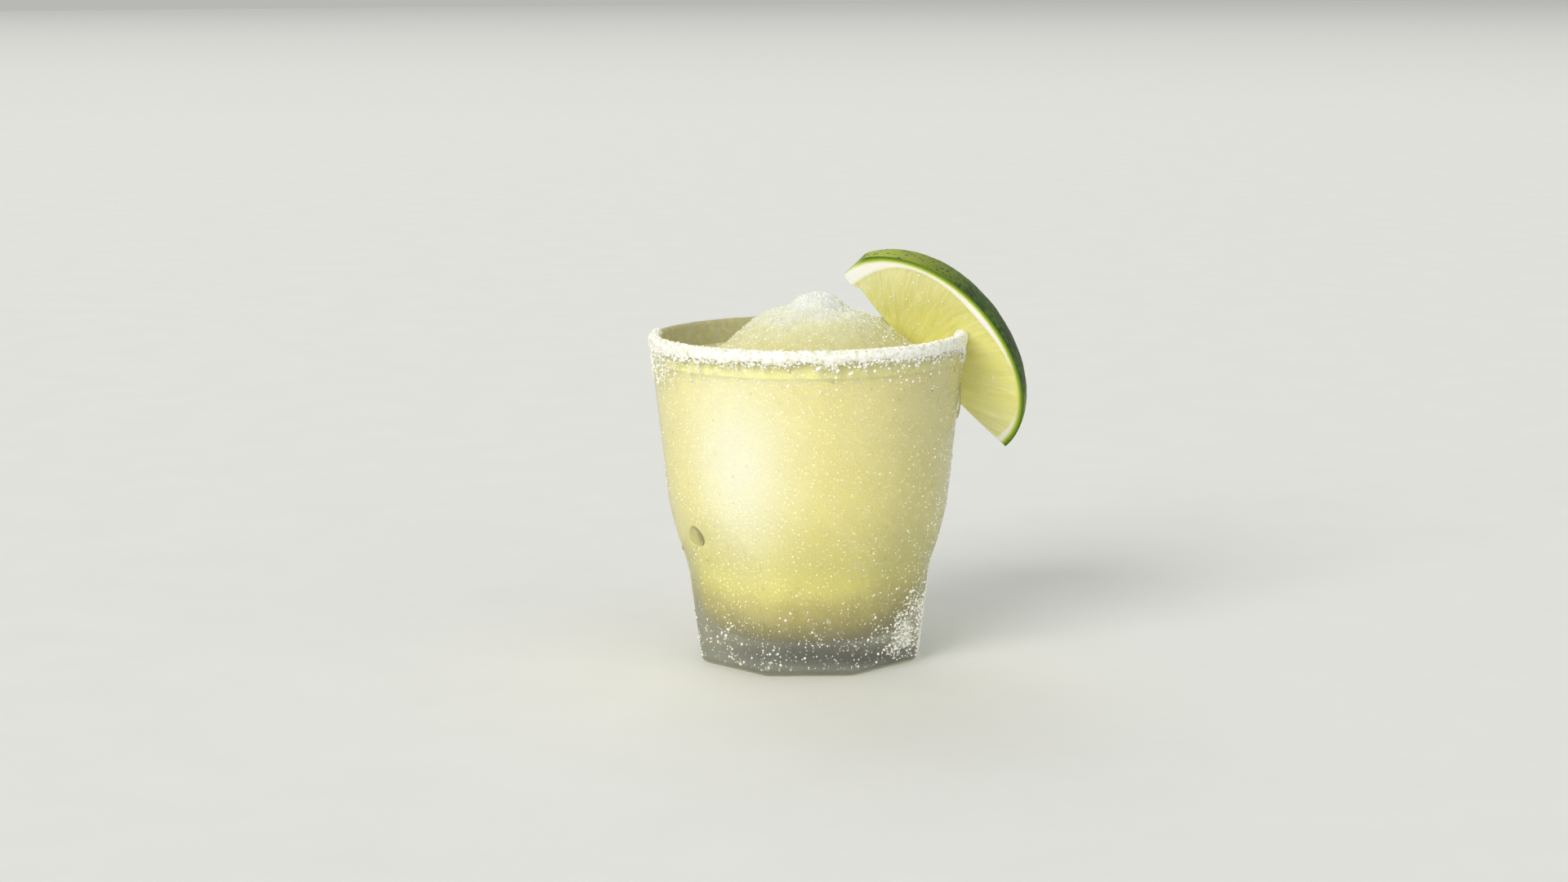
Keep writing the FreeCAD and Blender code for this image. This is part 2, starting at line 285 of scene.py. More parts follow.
# %% Profiles of the glass
def rounded_profile(corners, step):
    """Points along a path through corners of (radius, height, rounding), with arcs at the corners."""
    spots = [np.array(corner[:2], float) for corner in corners]
    stretches, start = [], spots[0]
    for i in range(1, len(spots) - 1):
        back = spots[i - 1] - spots[i]
        ahead = spots[i + 1] - spots[i]
        back, ahead = back / np.linalg.norm(back), ahead / np.linalg.norm(ahead)
        half = math.acos(np.clip(back @ ahead, -1, 1)) / 2
        reach = corners[i][2] / math.tan(half)
        first, last = spots[i] + back * reach, spots[i] + ahead * reach
        middle = (back + ahead) / np.linalg.norm(back + ahead)
        centre = spots[i] + middle * corners[i][2] / math.sin(half)
        stretches.append(np.array([start, first]))
        turn = math.pi - 2 * half
        shares = np.linspace(0, 1, max(3, math.ceil(turn * corners[i][2] / step)))
        from_centre, to_centre = first - centre, last - centre
        weights = np.sin(np.stack([(1 - shares) * turn, shares * turn], 1)) / math.sin(turn)
        stretches.append(centre + weights[:, :1] * from_centre + weights[:, 1:] * to_centre)
        start = last
    stretches.append(np.array([start, spots[-1]]))
    path = np.vstack(stretches)
    along = np.concatenate([[0], np.cumsum(np.linalg.norm(np.diff(path, axis=0), axis=1))])
    stops = np.linspace(0, along[-1], math.ceil(along[-1] / step) + 1)
    return np.stack([np.interp(stops, along, path[:, 0]), np.interp(stops, along, path[:, 1])], 1)


RIM_RADIUS, RIM_WALL = 44.6, 2.4
SHOULDER_HEIGHT, SHOULDER_RADIUS = 45.0, 39.7
TAPER = (RIM_RADIUS - SHOULDER_RADIUS) / (RIM_HEIGHT - SHOULDER_HEIGHT)
PANELS = 8
RIB_SHARPNESS, ARCH_SOFTNESS = 64, 0.16
CAVITY = [(0, 8.0, 0), (26.3, 8.0, 10.0), (29.9, 28.5, 30.0), (36.6, 45.0, 40.0), (42.2, RIM_HEIGHT, 0)]
panel_line = rounded_profile([(30.4, 0, 0), (33.9, 28.5, 40.0), (39.58, 45.0, 30.0), (45.1, 70.0, 0)], 0.5)
cavity_line = rounded_profile(CAVITY, 0.9)


def taper_radius(height):
    """Radius of the round taper at a height."""
    return SHOULDER_RADIUS + TAPER * (height - SHOULDER_HEIGHT)


def outer_radius(angle, height):
    """Outside of the glass: the round taper, or the eight panels where they lie further in."""
    flat = np.interp(height, panel_line[:, 1], panel_line[:, 0])
    middles = np.arange(PANELS) * FULL_TURN / PANELS
    facing = np.clip(np.cos(np.asarray(angle)[..., None] - middles), 0, 1)
    panels = flat / (facing ** RIB_SHARPNESS).sum(-1) ** (1 / RIB_SHARPNESS)
    return -ARCH_SOFTNESS * np.logaddexp(-panels / ARCH_SOFTNESS, -taper_radius(height) / ARCH_SOFTNESS)

# %% [markdown]
# The rings go out over the flat foot, up the outside in steps of under a millimetre, over the lip and
# down the cavity. A slight ripple keeps the wall from looking machined.

# %% The glass's mesh
ANGLES = np.linspace(0, FULL_TURN, 320, endpoint=False)
ACROSS = np.stack([np.cos(ANGLES), np.sin(ANGLES)], 1)


def ring_at(radius, height):
    """One level ring of points. radius may be one value or one for each angle."""
    spread = np.broadcast_to(radius, ANGLES.shape)[:, None] * ACROSS
    return np.column_stack([spread, np.broadcast_to(height, ANGLES.shape)])


FOOT_ROUND, LIP = 2.0, RIM_WALL / 2
WALL_STEP = 0.72
flat_foot = outer_radius(ANGLES, 0.0) - FOOT_ROUND
glass_rings = [ring_at(flat_foot * share, 0.0) for share in (0.3, 0.6, 0.85, 0.97)]
for turn in np.radians([0, 15, 30, 45, 60, 75]):
    height = FOOT_ROUND * (1 - math.cos(turn))
    glass_rings.append(ring_at(outer_radius(ANGLES, height) - FOOT_ROUND * (1 - math.sin(turn)), height))
FIRST_WALL = len(glass_rings)
wall_heights = np.arange(FOOT_ROUND, RIM_HEIGHT - LIP, WALL_STEP)
glass_rings += [ring_at(outer_radius(ANGLES, height), height) for height in wall_heights]
lip_middle = taper_radius(RIM_HEIGHT - LIP) - LIP
for turn in np.radians(np.arange(0, 181, 15)):
    glass_rings.append(ring_at(lip_middle + LIP * math.cos(turn), RIM_HEIGHT - LIP + LIP * math.sin(turn)))
in_cavity = (cavity_line[:, 1] < RIM_HEIGHT - LIP - 0.5) & (cavity_line[:, 0] > 0.5)
inner_line = cavity_line[in_cavity][::-1]
glass_rings += [ring_at(radius, height) for radius, height in inner_line]
glass_rings = np.array(glass_rings)
TYPICAL_RADIUS = 40.0
ripple = 0.05 * wobble(glass_rings, 11.0, 1)
ripple[:4] = 0
glass_rings[..., :2] *= (1 + ripple / TYPICAL_RADIUS)[..., None]
glass = ring_mesh("frosted_glass", (0, 0, 0), glass_rings, (0, 0, CAVITY[0][1]))

# %% [markdown]
# Cold glass in warm air is covered with a film of tiny drops. It scatters what is seen through it, so the
# glass is a rough transmitting surface, and a little rougher where the slush chills the wall than on the
# solid foot. The foot is thick, so its tint is darker. A shadow ray passes straight through, because
# otherwise the drink inside would be lit too little. The transmission is one plain value, and the tint, the
# roughness and the relief are what changes over the surface.

# %% The glass's material
frosted, tree, shader = new_material("frosted pressed glass", {
    "Transmission Weight": 0.96, "IOR": 1.22, "Specular IOR Level": 0.8,
    "Coat Weight": 0.8, "Coat Roughness": 0.4, "Coat IOR": 1.7})
film = place_group(tree, height_tree, Low=2.0, High=16.0, Waver=6.0)
patch = place_group(tree, mottle_tree, Size=9.0, Seed=2.0, Detail=3.0)
patchy = add_map(tree, patch, 0.35, 0.7, 0.0, 0.06)
rough = add_math(tree, "ADD", add_map(tree, film, 0.0, 1.0, 0.29, 0.32), patchy)
tree.links.new(rough, shader.inputs["Roughness"])
tall = place_group(tree, height_tree, Low=0.0, High=40.0, Waver=2.0)
tint = add_ramp(tree, tall, [(0.0, (0.61, 0.605, 0.50)), (0.3, (0.56, 0.54, 0.35)),
                             (0.6, (0.68, 0.67, 0.47)), (1.0, (0.90, 0.90, 0.84))])
tree.links.new(tint, shader.inputs["Base Color"])
dew = place_group(tree, grain_tree, Size=0.45, Stretch=1.4)
bump(tree, shader, dew, 0.05, 0.5)
lets_light_in(tree, shader, (0.92, 0.93, 0.88))
finish_piece(glass, frosted, "glass", "glass")

# %% [markdown]
# Frost is a film of its own: a closed shell that follows the wall, 0.04 mm outside it, with its other side
# hidden in the glass. Its alpha is the share of light that the frost scatters back, which is the milky veil.
# It is thin all over, with soft whiter blooms here and there. The blooms are partly uneven frost and partly a
# painted highlight: the largest, at the front left, stands in for part of the soft glow where the key light
# falls. A veil could also be painted into the glass, but then the transmission would have to change over the
# surface.

# %% The frost film
outside_wall = glass_rings[FIRST_WALL:FIRST_WALL + len(wall_heights)]
WALL_PER_DEGREE = 0.72
# Each bloom is partly thicker frost and partly a painted highlight; the front-left one stands in for the key
# light's soft glow.
BLOOMS_AND_GLOW = ((240, 60, 15, 24), (20, 58, 14, 18), (120, 70, 16, 15), (160, 40, 12, 16))


def bloom_and_glow_at(points):
    """How much white bloom lies at each point: partly frost, partly a painted highlight.

    A bloom has a bearing in degrees, a height, a half-width and a half-height, all three in millimetres.
    A degree of bearing takes about WALL_PER_DEGREE millimetres of wall.
    """
    bearings = np.degrees(np.arctan2(points[..., 1], points[..., 0]))
    total = np.zeros(points.shape[:-1])
    for bearing, high, width, tall in BLOOMS_AND_GLOW:
        aside = (bearings - bearing + 180) % 360 - 180
        total += np.exp(-(aside * WALL_PER_DEGREE / width) ** 2 - ((points[..., 2] - high) / tall) ** 2)
    return total


def wall_grown(by):
    """The outside of the wall, moved outwards by about that many millimetres."""
    return outside_wall * np.array([1 + by / TYPICAL_RADIUS, 1 + by / TYPICAL_RADIUS, 1.0])


low_wall = np.exp(-((outside_wall[..., 2] - 8) / 10) ** 2)
uneven_frost = 1 + 0.2 * wobble(outside_wall, 5.0, 44)
# The blooms add a painted highlight to the real frost veil.
frost_veil_and_glow = (0.04 + 0.16 * bloom_and_glow_at(outside_wall) + 0.015 * low_wall) * uneven_frost
shell = np.concatenate([wall_grown(0.04), wall_grown(-0.3)[::-1]])


def tube_mesh(name, rings, attributes):
    """A closed tube: rings that lead out along one side and back along the other, joined end to start."""
    stops, count = rings.shape[:2]
    here = np.arange(stops * count).reshape(stops, count)
    after, beside = np.roll(here, -1, axis=0), np.roll(here, -1, axis=1)
    corner = np.roll(after, -1, axis=1)
    quads = np.stack([here, beside, corner, after], -1).reshape(-1, 4)
    points = rings.reshape(-1, 3)
    if volume_of(points, quads, np.zeros((0, 3), int)) < 0:
        quads = quads[:, ::-1]
    mesh = bpy.data.meshes.new(name)
    mesh.from_pydata((points * MM).tolist(), [], quads.tolist())
    mesh.polygons.foreach_set("use_smooth", [True] * len(mesh.polygons))
    for key, values in attributes.items():
        layer = mesh.attributes.new(key, "FLOAT", "POINT")
        layer.data.foreach_set("value", np.asarray(values, dtype=np.float32).ravel())
    piece = bpy.data.objects.new(name, mesh)
    bpy.context.scene.collection.objects.link(piece)
    print(f"{name}: {2 * len(quads)} triangles")
    return piece


frost = tube_mesh("frost_film", shell, {"frost_veil_and_glow": np.concatenate([frost_veil_and_glow, 0 * frost_veil_and_glow])})

# %% [markdown]
# A few darker dots are places where the frost has melted to a drop. The film never scatters more than a
# quarter of the light, so that the drink still shows through.

# %% The frost's material
frost_look, tree, shader = new_material("thin frost", {"Specular IOR Level": 0.3})
fine = place_group(tree, mottle_tree, Size=0.7, Seed=14.0, Detail=3.0)
speckled = add_map(tree, fine, 0.3, 0.7, 0.9, 1.1)
amount = add(tree, "ShaderNodeAttribute", {"attribute_name": "frost_veil_and_glow"}).outputs["Fac"]
light_dots = place_group(tree, speck_tree, Size=0.95, Share=0.3)
dark_dots = place_group(tree, speck_tree, Size=1.3, Share=0.02)
outer_side = add_map(tree, amount, 0.0, 0.02)
dots = add_math(tree, "MULTIPLY", add_math(tree, "MAXIMUM", light_dots, dark_dots), 0.2)
dots = add_math(tree, "MULTIPLY", dots, outer_side)
share = add_math(tree, "ADD", add_math(tree, "MULTIPLY", amount, speckled), dots)
MOST_FROST = 0.24
tree.links.new(add_math(tree, "MINIMUM", share, MOST_FROST), shader.inputs["Alpha"])
tree.links.new(add_map(tree, fine, 0.3, 0.7, 0.7, 0.5), shader.inputs["Roughness"])
pale = add_ramp(tree, fine, [(0.3, (0.92, 0.91, 0.84)), (0.7, (0.98, 0.98, 0.95))])
tree.links.new(add_blend(tree, dark_dots, pale, (0.22, 0.20, 0.10)), shader.inputs["Base Color"])
finish_piece(frost, frost_look, "glass")

# %% [markdown]
# ## The frozen drink
# Slush is packed crystals in syrup. It fills the cavity to a line about 7 mm under the rim, and then rises in
# a broad mound with a small icy peak, a little right of the middle. The side has to reach just into the
# glass, because a gap of air would show as a silver skin. The top is a height for each place: the mound, the
# peak, soft folds, and then grains of ice as real relief, since bump alone goes flat at the outline. The mesh
# also carries two values: where loose ice lies, and where the slush is paler behind the blooms of frost,
# which is partly froth and partly a painted glow.

# %% The drink's surface
FILL_HEIGHT = RIM_HEIGHT - 7.2
MOUND_ASIDE = 2.8
PEAK_TOP = RIM_HEIGHT + 11.0
PEAK_SOFTNESS = 0.4


def bell(distance, radius, squareness):
    """1 in the middle, falling to 0 past the radius."""
    return np.exp(-((distance / radius) ** squareness))


def drink_height(x, y):
    """Height of the slush over a place, without its fine grain."""
    dx = x - MOUND_ASIDE
    distance = np.hypot(dx, y)
    angle = np.arctan2(y, dx)
    mound = 13.8 * bell(distance, 25.2, 4.4)
    peak = 6.0 * bell(distance, 6.6, 3.0)
    folds = np.sin(2 * angle + distance / 4.5) + 0.7 * np.sin(3 * angle - distance / 6.0 + 1.0)
    level = FILL_HEIGHT + mound + peak + 0.4 * folds * bell(distance - 17.6, 12.6, 4.0)
    return PEAK_TOP - PEAK_SOFTNESS * np.logaddexp(0, (PEAK_TOP - level) / PEAK_SOFTNESS)

# %% [markdown]
# The side follows the cavity, a little inside the glass, and the top closes in rings towards the middle.

# %% The drink's mesh
AROUND = 430
INTO_WALL = 0.12
TURNS = np.linspace(0, FULL_TURN, AROUND, endpoint=False)
cavity_floor = CAVITY[0][1]
side_line = cavity_line[cavity_line[:, 1] < FILL_HEIGHT - 0.6]
side_line = side_line[side_line[:, 0] > 0.5] + (INTO_WALL, 0)
side_line[side_line[:, 1] < cavity_floor + 0.01] -= (0, INTO_WALL)
side = np.array([np.column_stack([r * np.cos(TURNS), r * np.sin(TURNS), np.full(TURNS.shape, z)])
                 for r, z in side_line])
wall = side_line[-1][0] + 0.05
reach = np.concatenate([[wall, wall - 0.05], np.linspace(wall - 0.35, 0.9, 112)])
top_x, top_y = (reach[:, None] * f(TURNS) for f in (np.cos, np.sin))
flat = np.stack([top_x, top_y, np.zeros_like(top_x)], -1)
lumps = 0.55 * wobble(flat, 5.5, 3) + 0.35 * wobble(flat, 2.4, 4)
grains = 0.22 * np.abs(wobble(flat, 1.1, 5)) + 0.16 * wobble(flat, 0.6, 6)
at_wall = np.clip((wall - reach) / 3.0, 0, 1)[:, None]
meniscus = 0.7 * np.exp(-(wall - reach) / 0.8)[:, None] + 0.3 * (1 - at_wall) * wobble(flat, 7.0, 7)
top_z = drink_height(top_x, top_y) + at_wall * (lumps + grains) + meniscus

icy = np.clip((top_z - RIM_HEIGHT - 3.0) / 7.0, 0, 1)
drink_rings = np.concatenate([side, np.stack([top_x, top_y, top_z], -1)])
on_top = np.clip((wall - 0.6 - reach) / 2, 0, 1)[:, None] * (0.35 + 0.65 * icy)
loose = np.concatenate([np.zeros(1 + side.shape[0] * AROUND), on_top.ravel(), [0]])
behind_glass = drink_rings[..., 2] < FILL_HEIGHT
# Paler slush behind the frost blooms: partly froth, partly a painted glow.
froth_and_glow = np.concatenate([[0], (bloom_and_glow_at(drink_rings) * behind_glass).ravel(), [0]])
drink = ring_mesh("frozen_drink", (0, 0, side_line[0][1]), drink_rings, (0, 0, float(top_z[-1].mean())),
                  {"loose": loose, "froth_and_glow": froth_and_glow})

# %% [markdown]
# The colour of slush is the syrup's yellow-green under white scattered light. Syrup drains, so the drink is
# deepest in colour at its foot and almost white at the peak, where mostly ice is left. Above the fill line
# the open top gets a darker tone than the slush behind the glass, which is painted shade for the stronger
# light that falls on it. Behind the frost blooms the slush is paler, partly froth and partly a painted glow.
# Subsurface scattering lets the light spread a few millimetres, which softens its shading.

# %% The drink's material
slush, tree, shader = new_material("lime slush", {
    "Subsurface Weight": 0.85, "Subsurface Scale": 0.005, "Subsurface Radius": (1.0, 0.9, 0.45),
    "IOR": 1.33, "Coat Weight": 0.15, "Coat Roughness": 0.25})
level = place_group(tree, height_tree, Low=8.0, High=88.0, Waver=10.0)
syrup = add_ramp(tree, level, [
    (0.0, srgb(176, 164, 92)), (0.09, srgb(196, 184, 104)), (0.22, srgb(245, 237, 137)),
    (0.45, srgb(232, 223, 135)), (1.0, srgb(235, 226, 158))])
# The open top's darker tone is painted shade that offsets the stronger light on the uncovered slush; only the
# whitish peak is its ice.
crest = place_group(tree, height_tree, Low=RIM_HEIGHT - 2.0, High=RIM_HEIGHT + 9.0, Waver=5.0)
open_top_ice_and_shade = add_ramp(tree, crest, [
    (0.0, srgb(212, 206, 148)), (0.5, srgb(216, 213, 168)), (1.0, srgb(222, 225, 226))])
out_of_glass = place_group(tree, height_tree, Low=RIM_HEIGHT - 8.3, High=RIM_HEIGHT - 7.5, Waver=0.4)
slush_tone_shade_and_glow = add_blend(tree, out_of_glass, syrup, open_top_ice_and_shade)
# Behind the blooms the slush is blended towards near-white: partly froth, partly a painted glow.
glow_and_froth_here = add(tree, "ShaderNodeAttribute", {"attribute_name": "froth_and_glow"}).outputs["Fac"]
slush_tone_shade_and_glow = add_blend(tree, add_math(tree, "MULTIPLY", glow_and_froth_here, 0.85), slush_tone_shade_and_glow, srgb(248, 246, 230))
patch = place_group(tree, mottle_tree, Size=3.0, Seed=5.0, Detail=4.0)
uneven = add_blend(tree, add_map(tree, patch, 0.45, 0.75, 0.0, 0.3), slush_tone_shade_and_glow, srgb(240, 236, 196))
crumbs = place_group(tree, speck_tree, Size=0.9, Share=0.16)
flecked = add_blend(tree, add_map(tree, crumbs, 0.0, 1.0, 0.0, 0.45), uneven, srgb(252, 251, 236))
tree.links.new(flecked, shader.inputs["Base Color"])
grain = place_group(tree, grain_tree, Size=0.7, Stretch=1.0)
tree.links.new(add_map(tree, grain, 0.0, 1.0, 0.5, 0.32), shader.inputs["Roughness"])
bump(tree, shader, grain, 0.12, 0.7)
finish_piece(drink, slush, "slush", "slush")

# %% [markdown]
# Where the drink has swilled above its level, it leaves a smear on the inside of the wall, up to the salt. It
# is thick at the front and thin at the back. Its tone runs from bright at the front to darker at the back,
# which is partly the residue and partly painted light and shade: a painted light at the front, where the salt
# casts a shadow, and a painted shade at the back inside the glass. It is a thin closed band, just into the
# glass on one side and 0.2 mm proud of it on the other.

# %% The smear above the drink
straight_part = np.linspace(FILL_HEIGHT - 0.2, RIM_HEIGHT - LIP, 12)
round_part = RIM_HEIGHT - LIP + LIP * np.sin(np.radians([20, 40, 55, 70]))
smear_heights = np.concatenate([straight_part, round_part])
wall_there = np.interp(smear_heights, cavity_line[:, 1], cavity_line[:, 0])
in_lip = np.clip(smear_heights - RIM_HEIGHT + LIP, 0, LIP)
wall_there = np.where(in_lip > 0, lip_middle - np.sqrt(LIP ** 2 - in_lip ** 2), wall_there)


def smear_rings(gap):
    """Rings on the inside of the wall, gap millimetres towards the axis."""
    radii = wall_there[:, None] - gap + 0.05 * np.sin(7 * TURNS)[None, :] * (gap > 0)
    heights = np.repeat(smear_heights[:, None], AROUND, 1)
    return np.stack([radii * np.cos(TURNS), radii * np.sin(TURNS), heights], -1)


smear_shell = np.concatenate([smear_rings(0.22), smear_rings(-0.1)[::-1]])
towards_front = np.clip(0.5 - 1.6 * smear_shell[..., 1] / RIM_RADIUS, 0, 1)
smear = tube_mesh("swill_smear", smear_shell, {"front_smear_and_light": towards_front})
smear_look, tree, shader = new_material("smear of slush", {"IOR": 1.33})
front_smear_and_light = add(tree, "ShaderNodeAttribute", {"attribute_name": "front_smear_and_light"}).outputs["Fac"]
streak = place_group(tree, mottle_tree, Size=2.2, Seed=16.0, Detail=3.0)
# The tone from back to front is partly residue and partly painted light and shade.
tone = add_ramp(tree, front_smear_and_light, [(0.0, srgb(189, 183, 116)), (1.0, srgb(253, 247, 160))])
streaky = add_blend(tree, add_map(tree, streak, 0.4, 0.7, 0.0, 0.3), tone, srgb(246, 243, 214))
tree.links.new(streaky, shader.inputs["Base Color"])
tree.links.new(add_map(tree, streak, 0.3, 0.7, 0.35, 0.6), shader.inputs["Roughness"])
thickness = add_map(tree, front_smear_and_light, 0.0, 1.0, 0.65, 1.15)
thin_places = add_map(tree, streak, 0.35, 0.65, -0.15, 0.15)
tree.links.new(add_math(tree, "ADD", thickness, thin_places), shader.inputs["Alpha"])
finish_piece(smear, smear_look, "slush")

# %% [markdown]
# ## Scattering with Geometry Nodes
# Salt, loose ice, rime and beads of water are the same task: thousands of small bodies on a surface,
# thicker in some places than others. One kind of tree does them all. It reads a value named loose from
# the surface that it is given, to know how many bodies belong there. Small bodies should far outnumber
# big ones, so the random size is cubed. The result becomes a plain mesh, and the modifier goes.

# %% The scattering tree
MORE_SMALL_THAN_BIG = 3.0
ANY_TURN = 6.28


def scatter_tree(name, lying_flat):
    """A tree that scatters a body over a surface. lying_flat turns each body to the surface's normal."""
    tree = bpy.data.node_groups.new(name, "GeometryNodeTree")
    sockets = {"Surface": "Geometry", "Body": "Object", "Density": "Float", "Smallest": "Float",
               "Largest": "Float", "Squash": "Float", "Lift": "Float", "Seed": "Int",
               "Material": "Material", "Smooth": "Bool"}
    for label, kind in sockets.items():
        tree.interface.new_socket(name=label, in_out="INPUT", socket_type="NodeSocket" + kind)
    tree.interface.new_socket(name="Scattered", in_out="OUTPUT", socket_type="NodeSocketGeometry")
    given, result = tree.nodes.new("NodeGroupInput"), tree.nodes.new("NodeGroupOutput")
    take = given.outputs
    loose = add(tree, "GeometryNodeInputNamedAttribute", {"data_type": "FLOAT"}, Name="loose").outputs[0]
    density = add_math(tree, "MULTIPLY", loose, take["Density"])
    spots = add(tree, "GeometryNodeDistributePointsOnFaces", None, Mesh=take["Surface"], Seed=take["Seed"])
    tree.links.new(density, spots.inputs["Density"])
    chance = add(tree, "FunctionNodeRandomValue", {"data_type": "FLOAT"}, Seed=take["Seed"]).outputs[1]
    share = add_math(tree, "POWER", chance, MORE_SMALL_THAN_BIG)
    spread = add_math(tree, "SUBTRACT", take["Largest"], take["Smallest"])
    size = add_math(tree, "ADD", take["Smallest"], add_math(tree, "MULTIPLY", share, spread))
    shape = add(tree, "FunctionNodeRandomValue", {"data_type": "FLOAT_VECTOR"},
                Seed=add_math(tree, "ADD", take["Seed"], 1.0))
    shape.inputs[0].default_value, shape.inputs[1].default_value = (0.75, 0.75, 0.75), (1.25, 1.25, 1.25)
    sized = add(tree, "ShaderNodeVectorMath", {"operation": "SCALE"}, i0=shape.outputs[0], Scale=size)
    flatten = add(tree, "ShaderNodeCombineXYZ", None, X=1.0, Y=1.0, Z=take["Squash"])
    scale = add(tree, "ShaderNodeVectorMath", {"operation": "MULTIPLY"},
                i0=sized.outputs[0], i1=flatten.outputs[0])
    tumble = add(tree, "FunctionNodeRandomValue", {"data_type": "FLOAT_VECTOR"},
                 Seed=add_math(tree, "ADD", take["Seed"], 2.0))
    tumble.inputs[1].default_value = (0.0, 0.0, ANY_TURN) if lying_flat else (ANY_TURN,) * 3
    turn = add(tree, "FunctionNodeEulerToRotation", None, i0=tumble.outputs[0])
    if lying_flat:
        turn = add(tree, "FunctionNodeRotateRotation", {"rotation_space": "LOCAL"},
                   i0=spots.outputs["Rotation"], i1=turn.outputs[0])
    off = add(tree, "ShaderNodeVectorMath", {"operation": "SCALE"}, i0=spots.outputs["Normal"],
              Scale=add_math(tree, "MULTIPLY", size, take["Lift"]))
    raised = add(tree, "GeometryNodeSetPosition", None,
                 Geometry=spots.outputs["Points"], Offset=off.outputs[0])
    body = add(tree, "GeometryNodeObjectInfo", None, Object=take["Body"])
    copies = add(tree, "GeometryNodeInstanceOnPoints", None, Points=raised.outputs[0],
                 Instance=body.outputs["Geometry"], Rotation=turn.outputs[0], Scale=scale.outputs[0])
    real = add(tree, "GeometryNodeRealizeInstances", None, Geometry=copies.outputs[0])
    soft = add(tree, "GeometryNodeSetShadeSmooth", None, i0=real.outputs[0], Shade_Smooth=take["Smooth"])
    painted = add(tree, "GeometryNodeSetMaterial", None, Geometry=soft.outputs[0], Material=take["Material"])
    tree.links.new(painted.outputs[0], result.inputs["Scattered"])
    return tree


TUMBLED = scatter_tree("tumbled bodies", False)
LYING = scatter_tree("lying bodies", True)


def scatter(name, tree, surface, body, material, slot, **values):
    """Scatters bodies over a surface and keeps them as one plain piece. Sizes are in millimetres."""
    carrier = bpy.data.objects.new(name + "_carrier", surface)
    bpy.context.scene.collection.objects.link(carrier)
    modifier = carrier.modifiers.new("scatter", "NODES")
    modifier.node_group = tree
    usual = {"Squash": 1.0, "Lift": 0.0, "Smooth": False, "Body": body, "Material": material}
    values = {**usual, **values}
    for item in tree.interface.items_tree:
        if item.in_out == "INPUT" and item.name in values:
            value = values[item.name]
            modifier[item.identifier] = value * MM if item.name in ("Smallest", "Largest") else value
    bpy.context.view_layer.update()
    ready = carrier.evaluated_get(bpy.context.evaluated_depsgraph_get())
    mesh = bpy.data.meshes.new_from_object(ready)
    mesh.name = name
    bpy.data.objects.remove(carrier)
    piece = bpy.data.objects.new(name, mesh)
    bpy.context.scene.collection.objects.link(piece)
    for layer in [kept.name for kept in mesh.attributes if kept.name == "loose"]:
        mesh.attributes.remove(mesh.attributes[layer])
    mesh.calc_loop_triangles()
    print(f"{name}: {len(mesh.loop_triangles)} triangles")
    return finish_piece(piece, material, slot)


def small_body(name, points, faces):
    """A body to scatter, one unit in size, kept out of the scene."""
    mesh = bpy.data.meshes.new(name)
    mesh.from_pydata(points, [], faces)
    return bpy.data.objects.new(name, mesh)


def small_ring(radius, height, sides, turned=0.0):
    """A few points round the upright axis, turned by a share of one step."""
    turns = [6.283 * (i + turned) / sides for i in range(sides)]
    return [(radius * math.cos(turn), radius * math.sin(turn), height) for turn in turns]


def cut_crystal(name, sides, top):
    """A chipped block: two rings of a few corners, the upper one smaller and turned."""
    points = small_ring(0.5, -0.38, sides) + small_ring(top, 0.38, sides, 0.3)
    faces = [tuple(reversed(range(sides))), tuple(range(sides, 2 * sides))]
    faces += [(i, (i + 1) % sides, sides + (i + 1) % sides, sides + i) for i in range(sides)]
    return small_body(name, points, faces)


def bead(name, rows, sides):
    """A drop of water lying on a surface: a dome with a round foot that sinks in a little."""
    points, faces = [(0, 0, 0.5)], []
    for row in range(1, rows + 1):
        down = math.radians(115) * row / rows
        points += small_ring(0.5 * math.sin(down), 0.5 * math.cos(down), sides)
    faces += [(0, 1 + i, 1 + (i + 1) % sides) for i in range(sides)]
    for row in range(rows - 1):
        a, b = 1 + row * sides, 1 + (row + 1) * sides
        faces += [(a + i, b + i, b + (i + 1) % sides, a + (i + 1) % sides) for i in range(sides)]
    faces.append(tuple(reversed([1 + (rows - 1) * sides + i for i in range(sides)])))
    return small_body(name, points, faces)


CRYSTAL, SHARD = cut_crystal("salt_block", 4, 0.46), cut_crystal("ice_chip", 5, 0.3)
BEAD, TINY_BEAD = bead("bead", 4, 10), bead("tiny_bead", 2, 6)

# %% [markdown]
# ## Loose ice on the mound
# Chips of clear ice stand on the slush, most of all round the peak, and catch the light. They are real
# bodies of a quarter to three quarters of a millimetre, tumbled every way and half sunk in.

# %% The ice
ice, tree, shader = new_material("wet ice chips", {
    "Transmission Weight": 0.35, "IOR": 1.31})
cloudy = place_group(tree, mottle_tree, Size=1.5, Seed=8.0, Detail=2.0)
milky = add_ramp(tree, cloudy, [(0.3, srgb(240, 239, 218)), (0.7, srgb(250, 251, 250))])
tree.links.new(milky, shader.inputs["Base Color"])
tree.links.new(add_map(tree, cloudy, 0.3, 0.7, 0.08, 0.3), shader.inputs["Roughness"])
lets_light_in(tree, shader, (0.9, 0.9, 0.86))
scatter("loose_ice", TUMBLED, drink.data, SHARD, ice, "slush",
        Density=1.9e6, Smallest=0.25, Largest=0.8, Lift=0.05, Seed=11)

# %% [markdown]
# ## The salt
# The bartender wets the lip and turns it in a dish of coarse salt, so the crust is thick on top, laps
# a few millimetres down the outside and less down the inside, and thins out into single grains. It runs
# from the back left round the front to the lime. Here it is a thin lumpy core that the grains stand on, and
# then the grains, as cut crystals. The core alone would look like icing, and grains alone would let the
# glass show between them.

